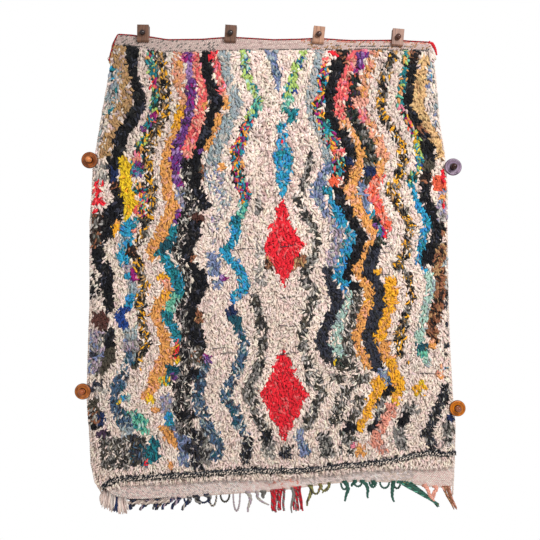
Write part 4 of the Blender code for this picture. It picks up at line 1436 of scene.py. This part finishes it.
def make_tassel(cloth, rng):
    """Broad cut rags that fan out below the lower left corner, in layers."""
    count = TASSEL_RAGS
    share = rng.uniform(-0.5, 0.5, count)
    x = TASSEL_X + share * TASSEL_WIDTH
    z = edge_height(BOTTOM_EDGE, x) + rng.uniform(2, 16, count)
    depth = cloth.look(cloth.back, x, z) + rng.uniform(3.0, 8.5, count)
    reach = TASSEL_DROP * rng.uniform(0.82, 1.0, count) * (1 - 0.5 * share**2) + 2
    steps = np.linspace(0, 1, 6)
    spread = share[:, None] * 24 * steps + rng.normal(0, 2.2, (count, 1)) * np.sin(pi * steps)
    centres = np.empty((count, 6, 3))
    centres[..., 0] = x[:, None] + spread
    centres[..., 2] = z[:, None] - reach[:, None] * steps
    puff = np.array((0.0, 3.0, 4.0, 3.5, 2.0, 0.5))
    centres[..., 1] = -(depth[:, None] + puff * rng.uniform(0.4, 1.0, (count, 1)))
    twist = np.cumsum(rng.uniform(-0.35, 0.35, (count, 6)), axis=1)
    across, out = ring_frames(centres, twist)
    width = rng.uniform(4.5, 7.0, (count, 1))
    widths = width * np.array((0.7, 1.0, 1.0, 1.0, 0.9, 0.6))
    pick = rng.choice(["ivory", "ivory", "cream", "rose_cream", "rose_cream", "rose_grey"], count)
    pick[(np.abs(x - TASSEL_X - 3) < 9) & (rng.random(count) < 0.6)] = "navy"
    colours = linear([RAGS[name] for name in pick]) * rng.uniform(0.8, 1.15, (count, 1))
    # Painted shade at each rag's root, and a painted highlight where it bulges out
    painted_shades = np.array((0.4, 0.7, 1.0, 1.08, 1.0, 0.85))
    piece = strips_mesh("rag_tassel", centres, across, out, widths, widths * 0.3, colours, painted_shades)
    piece.data.materials.append(rag_material("tassel rags", 1.8, 0.3))
    return piece


def add_bunch(store, cloth, bunch, shapes, rng):
    """The locks of one bunch, each a slack twist of yarns that thins to its tip."""
    yarns = bunch.yarns.split()
    for lock, x, width, route in lock_routes(bunch, shapes):
        depth, z = hem_depth(cloth, x)
        wander = np.cumsum(rng.normal(0, 1.5, (6, 2)), axis=0)
        points = [
            (x + right + wander[k, 0], -depth - 2.6 + wander[k, 1] * 0.4, z - 2 + down)
            for k, (right, down) in enumerate(route)
        ]
        radius = min(width * 1.1, 4.8) if bunch.locks > 1 else width * 1.75
        colours = yarn_colours(yarns[lock % len(yarns)], rng)
        taper = MAROON_TIP if "maroon" in bunch.yarns else TIP
        if bunch.x < LEFT_PART:
            taper = LEFT_TIP
        add_plies(store, smooth_route(points, 26), radius, 3, 5.0 * radius, colours, taper, rng)
        knot = np.array([(points[0][0], points[0][1], z + k * 2.2) for k in (1, 0, -1, -2, -3)])
        add_plies(store, knot, radius * 1.25, 3, 9.0, colours, 0.9, rng)


def make_binding(settings):
    """Twined cord along the upper edge, red with dark yarn, and its two tails."""
    cloth = Cloth()
    rng = np.random.default_rng(53)
    finish = rag_material("binding yarn", 0.8, 0.5)
    radius = settings.binding_radius / MM
    middle = []
    for share in np.linspace(0, 1, 150):
        x, z, depth = cloth_point(cloth, share, 0.0, FLATWEAVE_THICK / 2)
        middle.append((float(x), -float(depth), float(z) + radius + 0.3))
    left = [(x, middle[0][1] + TAIL_FORWARD * z, z) for x, z in LEFT_TAIL]
    right = [(x, middle[-1][1], z) for x, z in RIGHT_TAIL]
    store = new_store()
    dark, bright = linear(RAGS["maroon"]), linear(RAGS["red"])
    route = route_by_length(np.array(left[:-1] + middle), 3.0)
    twine = [bright * 0.5, dark, bright * 0.32]
    add_plies(store, route, radius, 3, 16.0, twine, 1.0, rng)
    tail = route_by_length(np.array([middle[-1]] + right), 2.0)
    add_plies(store, tail, radius * 2.2, 3, 22.0, [bright * 0.75], 0.4, rng)
    mount(plies_piece("twined_cord", store, finish), "twined_binding", "top_binding")


def route_by_length(points, step):
    """The route with its places evenly far apart."""
    away = np.concatenate(([0], np.cumsum(np.linalg.norm(np.diff(points, axis=0), axis=1))))
    steps = np.linspace(0, away[-1], int(away[-1] / step) + 2)
    fine = np.stack([np.interp(steps, away, points[:, k]) for k in range(3)], axis=1)
    return rounded(fine, 2)


def turn_piece(name, profile, place, steps=48):
    """Turns a piece about Y from (depth, radius) points that start and end on the axis."""
    bpy.ops.object.select_all(action="DESELECT")
    mesh = bpy.data.meshes.new(name)
    verts = [(place[0] + radius, -depth, place[1]) for depth, radius in profile]
    mesh.from_pydata(np.array(verts) * MM, [(k, k + 1) for k in range(len(verts) - 1)], [])
    piece = add_object(name, mesh)
    bpy.context.view_layer.objects.active = piece
    piece.select_set(True)
    bpy.ops.object.mode_set(mode="EDIT")
    bpy.ops.mesh.select_all(action="SELECT")
    bpy.ops.mesh.spin(
        steps=steps, angle=2 * pi, center=(place[0] * MM, 0, place[1] * MM), axis=(0, 1, 0)
    )
    bpy.ops.mesh.select_all(action="SELECT")
    bpy.ops.mesh.remove_doubles(threshold=0.00002)
    bpy.ops.mesh.normals_make_consistent(inside=False)
    bpy.ops.object.mode_set(mode="OBJECT")
    bpy.ops.object.shade_smooth_by_angle(angle=radians(35))
    return piece


def ball_points(centre, radius, neck, turns=14):
    """Points from a neck of the given radius over a ball to the axis."""
    start = pi - asin(neck / radius)
    angles = [start * (1 - k / turns) for k in range(turns)]
    points = [(centre + radius * cos(angle), radius * sin(angle)) for angle in angles]
    return points + [(centre + radius, 0.0)]


def wood_material(name, dark, light, grain, gloss, turned=None):
    """Wood with its grain drawn out along one way, with painted shade in rings if it is turned."""
    finish, tree, shader, places = new_material(name, gloss)
    fine = add_noise(tree, places, 160, 5, grain)
    broad = add_noise(tree, places, 38, 2, grain)
    both = add_math(tree, "ShaderNodeMath", "MULTIPLY_ADD", fine, 0.4, broad)
    tone = add_ramp(tree, both[0], ((0.4, dark), (0.92, light)))
    if turned:
        # Painted shade in rings on a peg's disc
        tone = multiply(tree, tone, ring_shade(tree, places, turned))
    tree.links.new(tone, shader.inputs["Base Color"])
    add_bump(tree, shader, fine, 0.25, 0.4)
    return finish


def ring_shade(tree, places, peg):
    """Painted shade in rings about a peg's centre: a painted shadow round the ball's neck, and painted
    shade in its groove and at its rim.
    """
    kind, scale = "ShaderNodeVectorMath", 1.0 / (peg.radius * MM)
    apart = add_math(tree, kind, "SUBTRACT", places, (peg.x * MM, 0.0, peg.z * MM))
    flat = add_math(tree, kind, "MULTIPLY", apart[0], (scale, 0.0, scale))
    size = add_math(tree, kind, "LENGTH", flat[0])
    # Painted shadow round the ball's neck, painted shade in the groove and at the rim
    return add_ramp(tree, size["Value"], (
        (0.34, (60, 50, 44)), (0.4, (120, 108, 100)), (0.5, (255, 255, 255)),
        (0.75, (196, 188, 182)), (0.8, (255, 255, 255)), (0.93, (214, 208, 204)),
        (1.0, (128, 118, 112)),
    ))


CLIP_WOODS = (
    ((50, 28, 18), (114, 76, 54)),
    ((46, 24, 16), (106, 69, 47)),
    ((92, 56, 38), (172, 124, 94)),
    ((70, 42, 30), (144, 100, 78)),
)
CLIP_BALLS = (
    ((18, 8, 7), (38, 19, 16)),
    ((16, 7, 6), (36, 18, 15)),
    ((34, 16, 10), (66, 35, 23)),
    ((38, 19, 14), (82, 45, 32)),
)
PEG_WOODS = (
    ((88, 38, 6), (170, 92, 34)),
    ((74, 56, 76), (146, 124, 148)),
    ((116, 56, 14), (196, 116, 52)),
    ((146, 72, 4), (216, 126, 16)),
)
PEG_BALLS = (
    ((140, 66, 26), (214, 136, 78)),
    ((20, 6, 3), (48, 16, 7)),
    ((104, 44, 18), (176, 96, 54)),
    ((98, 48, 26), (166, 102, 68)),
)


def varnish(finish, coat, roughness, specular):
    """Clear coat over a wood."""
    shader = finish.node_tree.nodes["Principled BSDF"]
    shader.inputs["Coat Weight"].default_value = coat
    shader.inputs["Coat Roughness"].default_value = roughness
    shader.inputs["Specular IOR Level"].default_value = specular


def make_clips(settings):
    """Walnut grain on the clip blocks, and a turned ball head in front of each."""
    upright = (6.0, 2.0, 0.55)
    seated, radius = 27.3, settings.clip_ball / MM / 2
    centre = seated + radius - 2.0
    neck = sqrt(radius**2 - (centre - seated) ** 2)
    profile = [(2.3, 0.0), (2.3, 3.0), (seated, 3.0)] + ball_points(centre, radius, neck)
    for number, place in enumerate(CLIPS, 1):
        dark, light = CLIP_WOODS[number - 1]
        wood = wood_material(f"clip walnut {number}", dark, light, upright, 0.5)
        for node in (f"clip_back_{number}", f"clip_front_{number}"):
            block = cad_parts[node]
            block.data.materials.clear()
            block.data.materials.append(wood)
        dark, light = CLIP_BALLS[number - 1]
        ball = wood_material(f"clip ball varnish {number}", dark, light, (2, 2, 2), 0.22)
        varnish(ball, 0.3, 0.12, 0.35)
        knob = turn_piece(f"clip_ball_{number}", profile, (place.x, place.z))
        knob.data.materials.append(ball)
        mount(knob, "clip_ball", f"clip_knob_{number}")


# Disc of a peg, over its face: depth from the wall, and how far inside its rim
DISC_FACE = (
    (20.3, 2.0), (21.2, 0.6), (22.8, 0.0), (25.4, 0.1), (27.3, 0.6), (28.6, 1.8), (29.3, 3.6),
    (29.2, 5.0), (28.9, 6.0), (28.1, 6.6), (28.3, 7.4), (28.2, 9.0), (27.5, 12.0),
)
# Inside the dish and back along the bore: depth, and distance from the axis
DISC_BORE = ((26.9, 12.0), (26.7, 10.2), (26.7, 4.5), (20.3, 4.5))
# Shank and hub of a peg's knob: depth, and distance from the axis
PEG_SHANK = (
    (0, 0), (0, 4.2), (27.0, 4.2), (27.0, 7.6), (27.5, 8.0), (28.4, 7.8), (29.0, 6.4), (30.2, 4.8),
)
PEG_NECK, PEG_BALL_DEPTH = 4.6, 42.0


def make_pegs(settings):
    """Dished discs turned with fine rings, and the ball head on its knob."""
    for number, place in enumerate(PEGS, 1):
        wood = wood_material(
            f"peg disc wood {number}", *PEG_WOODS[number - 1], (2.2, 1.0, 1.0), 0.42, place)
        ball = wood_material(
            f"peg ball wood {number}", *PEG_BALLS[number - 1], (1.4, 1.0, 1.0), 0.27)
        for finish in (wood, ball):
            varnish(finish, 0.1, 0.15, 0.28)
        face = [(depth, place.radius - inside) for depth, inside in DISC_FACE]
        profile = [DISC_BORE[-1], *face, *DISC_BORE]
        disc = turn_piece(f"turned_disc_{number}", profile, (place.x, place.z), 64)
        disc.data.materials.append(wood)
        mount(disc, f"peg_wood_{number}", f"peg_disc_{number}")
        head = ball_points(PEG_BALL_DEPTH, settings.peg_ball / MM / 2, PEG_NECK)
        knob = turn_piece(f"turned_ball_{number}", [*PEG_SHANK, *head], (place.x, place.z))
        knob.data.materials.append(ball)
        mount(knob, f"peg_ball_{number}", f"peg_knob_{number}")


# Where the lights aim, in metres
CLOTH_MIDDLE = (0.13, 0, -0.75)


def make_stage(settings):
    """Pale floor, white surroundings, soft lights from the upper right, and the camera."""
    scene = bpy.context.scene
    scene.view_settings.view_transform = "Standard"
    bpy.ops.object.select_all(action="DESELECT")
    bpy.ops.mesh.primitive_plane_add(size=3.0, location=(0.13, -1.1, -1.85))
    floor = bpy.context.object
    floor.name = "pale_floor"
    finish, tree, shader, places = new_material("floor paint", 0.8)
    clouds = add_noise(tree, places, 3, 2)
    tone = add_ramp(tree, clouds, ((0.3, (226, 226, 224)), (0.7, (236, 236, 234))))
    tree.links.new(tone, shader.inputs["Base Color"])
    floor.data.materials.append(finish)
    world = bpy.data.worlds.new("white room")
    world.use_nodes = True
    world.node_tree.nodes["Background"].inputs["Color"].default_value = (1, 1, 1, 1)
    add_room_light(world.node_tree, settings.room_light)
    scene.world = world
    add_light("key_light", (1.5, -2.1, 0.75), 1.0, settings.key_power)
    add_light("fill_light", (-1.6, -2.6, -0.2), 1.4, settings.fill_power)
    camera = add_object("camera", bpy.data.cameras.new("camera"))
    camera.location = (0.1267, -2.43, -0.7584)
    camera.rotation_euler = (pi / 2, 0, 0)
    camera.data.lens = 50
    camera.data.sensor_width = 36
    scene.camera = camera


def add_room_light(tree, strength):
    """White surroundings to look at, and a softer white as light."""
    seen = tree.nodes["Background"]
    seen.inputs["Strength"].default_value = 1.0
    glow = tree.nodes.new("ShaderNodeBackground")
    glow.inputs["Color"].default_value = (1, 1, 1, 1)
    glow.inputs["Strength"].default_value = strength
    path = tree.nodes.new("ShaderNodeLightPath")
    choice = tree.nodes.new("ShaderNodeMixShader")
    tree.links.new(path.outputs["Is Camera Ray"], choice.inputs["Fac"])
    tree.links.new(glow.outputs["Background"], choice.inputs[1])
    tree.links.new(seen.outputs["Background"], choice.inputs[2])
    tree.links.new(choice.outputs["Shader"], tree.nodes["World Output"].inputs["Surface"])


def add_light(name, place, size, power):
    """Soft square light that faces the middle of the cloth."""
    light = bpy.data.lights.new(name, "AREA")
    light.size = size
    light.energy = power
    lamp = add_object(name, light)
    lamp.location = place
    aim = Vector(CLOTH_MIDDLE) - Vector(place)
    lamp.rotation_euler = aim.to_track_quat("-Z", "Y").to_euler()


def length_setting(name, words, metres):
    """A length that the panel shows."""
    return bpy.props.FloatProperty(name=name, description=words, default=metres, unit="LENGTH")


class RugPileSettings(bpy.types.PropertyGroup):
    """Sizes of the rag pile."""

    strip_length: length_setting(
        "Strip length", "How far a rag strip reaches from its root, on average", 0.0175
    )
    strip_width: length_setting("Strip width", "Width that the rags are torn to", 0.0072)
    column_pitch: length_setting(
        "Column pitch", "Distance between roots across the cloth", 0.00775
    )
    row_pitch: length_setting(
        "Row pitch", "Distance between rows of roots down the cloth", 0.0053
    )
    pieces: bpy.props.IntProperty(
        name="Pieces",
        description="How many bands the pile is made in, from top to bottom",
        default=5,
    )


class RugClothSettings(bpy.types.PropertyGroup):
    """Sizes of the ground and the binding."""

    thickness: length_setting("Ground thickness", "Thickness of the woven ground", 0.0042)
    columns: bpy.props.IntProperty(
        name="Ground columns", description="Columns of the ground's mesh", default=112
    )
    rows: bpy.props.IntProperty(
        name="Ground rows", description="Rows of the ground's mesh", default=142
    )
    binding_radius: length_setting(
        "Binding radius", "Half the thickness of the twined cord", 0.0027
    )


class RugFixingSettings(bpy.types.PropertyGroup):
    """Sizes of the clips' and pegs' ball heads."""

    clip_ball: length_setting("Clip ball", "Width of the ball head on a clip", 0.018)
    peg_ball: length_setting("Peg ball", "Width of the ball head on a peg", 0.0192)


class RugStageSettings(bpy.types.PropertyGroup):
    """Strengths of the light."""

    room_light: bpy.props.FloatProperty(
        name="Room light", description="Strength of the white surroundings", default=0.58
    )
    key_power: bpy.props.FloatProperty(
        name="Key light", description="Power of the light from the upper right", default=88.0
    )
    fill_power: bpy.props.FloatProperty(
        name="Fill light", description="Power of the light from the left", default=12.0
    )


class RUG_OT_ground(bpy.types.Operator):
    """Weave the ground, with the heading and the lower band"""

    bl_idname = "rug.ground"
    bl_label = "Woven ground"

    def execute(self, context):
        make_ground(context.scene.rug_cloth)
        return {"FINISHED"}


class RUG_OT_pile(bpy.types.Operator):
    """Tie the pile of rag strips into the ground"""

    bl_idname = "rug.pile"
    bl_label = "Rag pile"

    def execute(self, context):
        make_pile(context.scene.rug_pile)
        return {"FINISHED"}


class RUG_OT_weave(bpy.types.Operator):
    """Add the stitches of the heading and of the lower band"""

    bl_idname = "rug.weave"
    bl_label = "Flat weave stitches"

    def execute(self, context):
        make_weave()
        return {"FINISHED"}


class RUG_OT_binding(bpy.types.Operator):
    """Twine the cord along the upper edge"""

    bl_idname = "rug.binding"
    bl_label = "Twined binding"

    def execute(self, context):
        make_binding(context.scene.rug_cloth)
        return {"FINISHED"}


class RUG_OT_fringe(bpy.types.Operator):
    """Hang the fringe and the corner tassel below the lower edge"""

    bl_idname = "rug.fringe"
    bl_label = "Fringe and tassel"

    def execute(self, context):
        make_fringe()
        return {"FINISHED"}


class RUG_OT_clips(bpy.types.Operator):
    """Finish the four wooden clips"""

    bl_idname = "rug.clips"
    bl_label = "Wooden clips"

    def execute(self, context):
        make_clips(context.scene.rug_fixings)
        return {"FINISHED"}


class RUG_OT_pegs(bpy.types.Operator):
    """Turn the four wooden pegs"""

    bl_idname = "rug.pegs"
    bl_label = "Wooden pegs"

    def execute(self, context):
        make_pegs(context.scene.rug_fixings)
        return {"FINISHED"}


class RUG_OT_stage(bpy.types.Operator):
    """Set the floor, the lights and the camera"""

    bl_idname = "rug.stage"
    bl_label = "Stage"

    def execute(self, context):
        make_stage(context.scene.rug_stage)
        return {"FINISHED"}


OPERATORS = (
    RUG_OT_ground,
    RUG_OT_pile,
    RUG_OT_weave,
    RUG_OT_binding,
    RUG_OT_fringe,
    RUG_OT_clips,
    RUG_OT_pegs,
    RUG_OT_stage,
)
SETTINGS = {
    "rug_pile": RugPileSettings,
    "rug_cloth": RugClothSettings,
    "rug_fixings": RugFixingSettings,
    "rug_stage": RugStageSettings,
}


class RUG_PT_panel(bpy.types.Panel):
    """Lists the rug's pieces and their sizes"""

    bl_idname = "RUG_PT_panel"
    bl_label = "Boucherouite rug"
    bl_space_type = "VIEW_3D"
    bl_region_type = "UI"
    bl_category = "Rug"

    def draw(self, context):
        for name, group in SETTINGS.items():
            box = self.layout.box()
            for field in group.__annotations__:
                box.prop(getattr(context.scene, name), field)
        for operator in OPERATORS:
            self.layout.operator(operator.bl_idname)


def register():
    for group in SETTINGS.values():
        bpy.utils.register_class(group)
    for name, group in SETTINGS.items():
        setattr(bpy.types.Scene, name, bpy.props.PointerProperty(type=group))
    for item in OPERATORS + (RUG_PT_panel,):
        bpy.utils.register_class(item)


def unregister():
    for item in reversed(OPERATORS + (RUG_PT_panel,)):
        bpy.utils.unregister_class(item)
    for name, group in SETTINGS.items():
        delattr(bpy.types.Scene, name)
        bpy.utils.unregister_class(group)


def declare_cloth():
    """Lists the pieces that the ground carries; the list is not used."""
    carried = [f"rag_pile_{k}" for k in range(1, bpy.context.scene.rug_pile.pieces + 1)]
    carried += ["heading_stitches", "band_stitches", "weft_lines", "twined_cord"]
    carried += ["loose_fringe", "corner_hem", "rag_tassel"]


def main():
    register()
    bpy.ops.rug.ground()
    bpy.ops.rug.pile()
    bpy.ops.rug.weave()
    bpy.ops.rug.binding()
    bpy.ops.rug.fringe()
    bpy.ops.rug.clips()
    bpy.ops.rug.pegs()
    bpy.ops.rug.stage()
    declare_cloth()


if __name__ == "__main__":
    main()
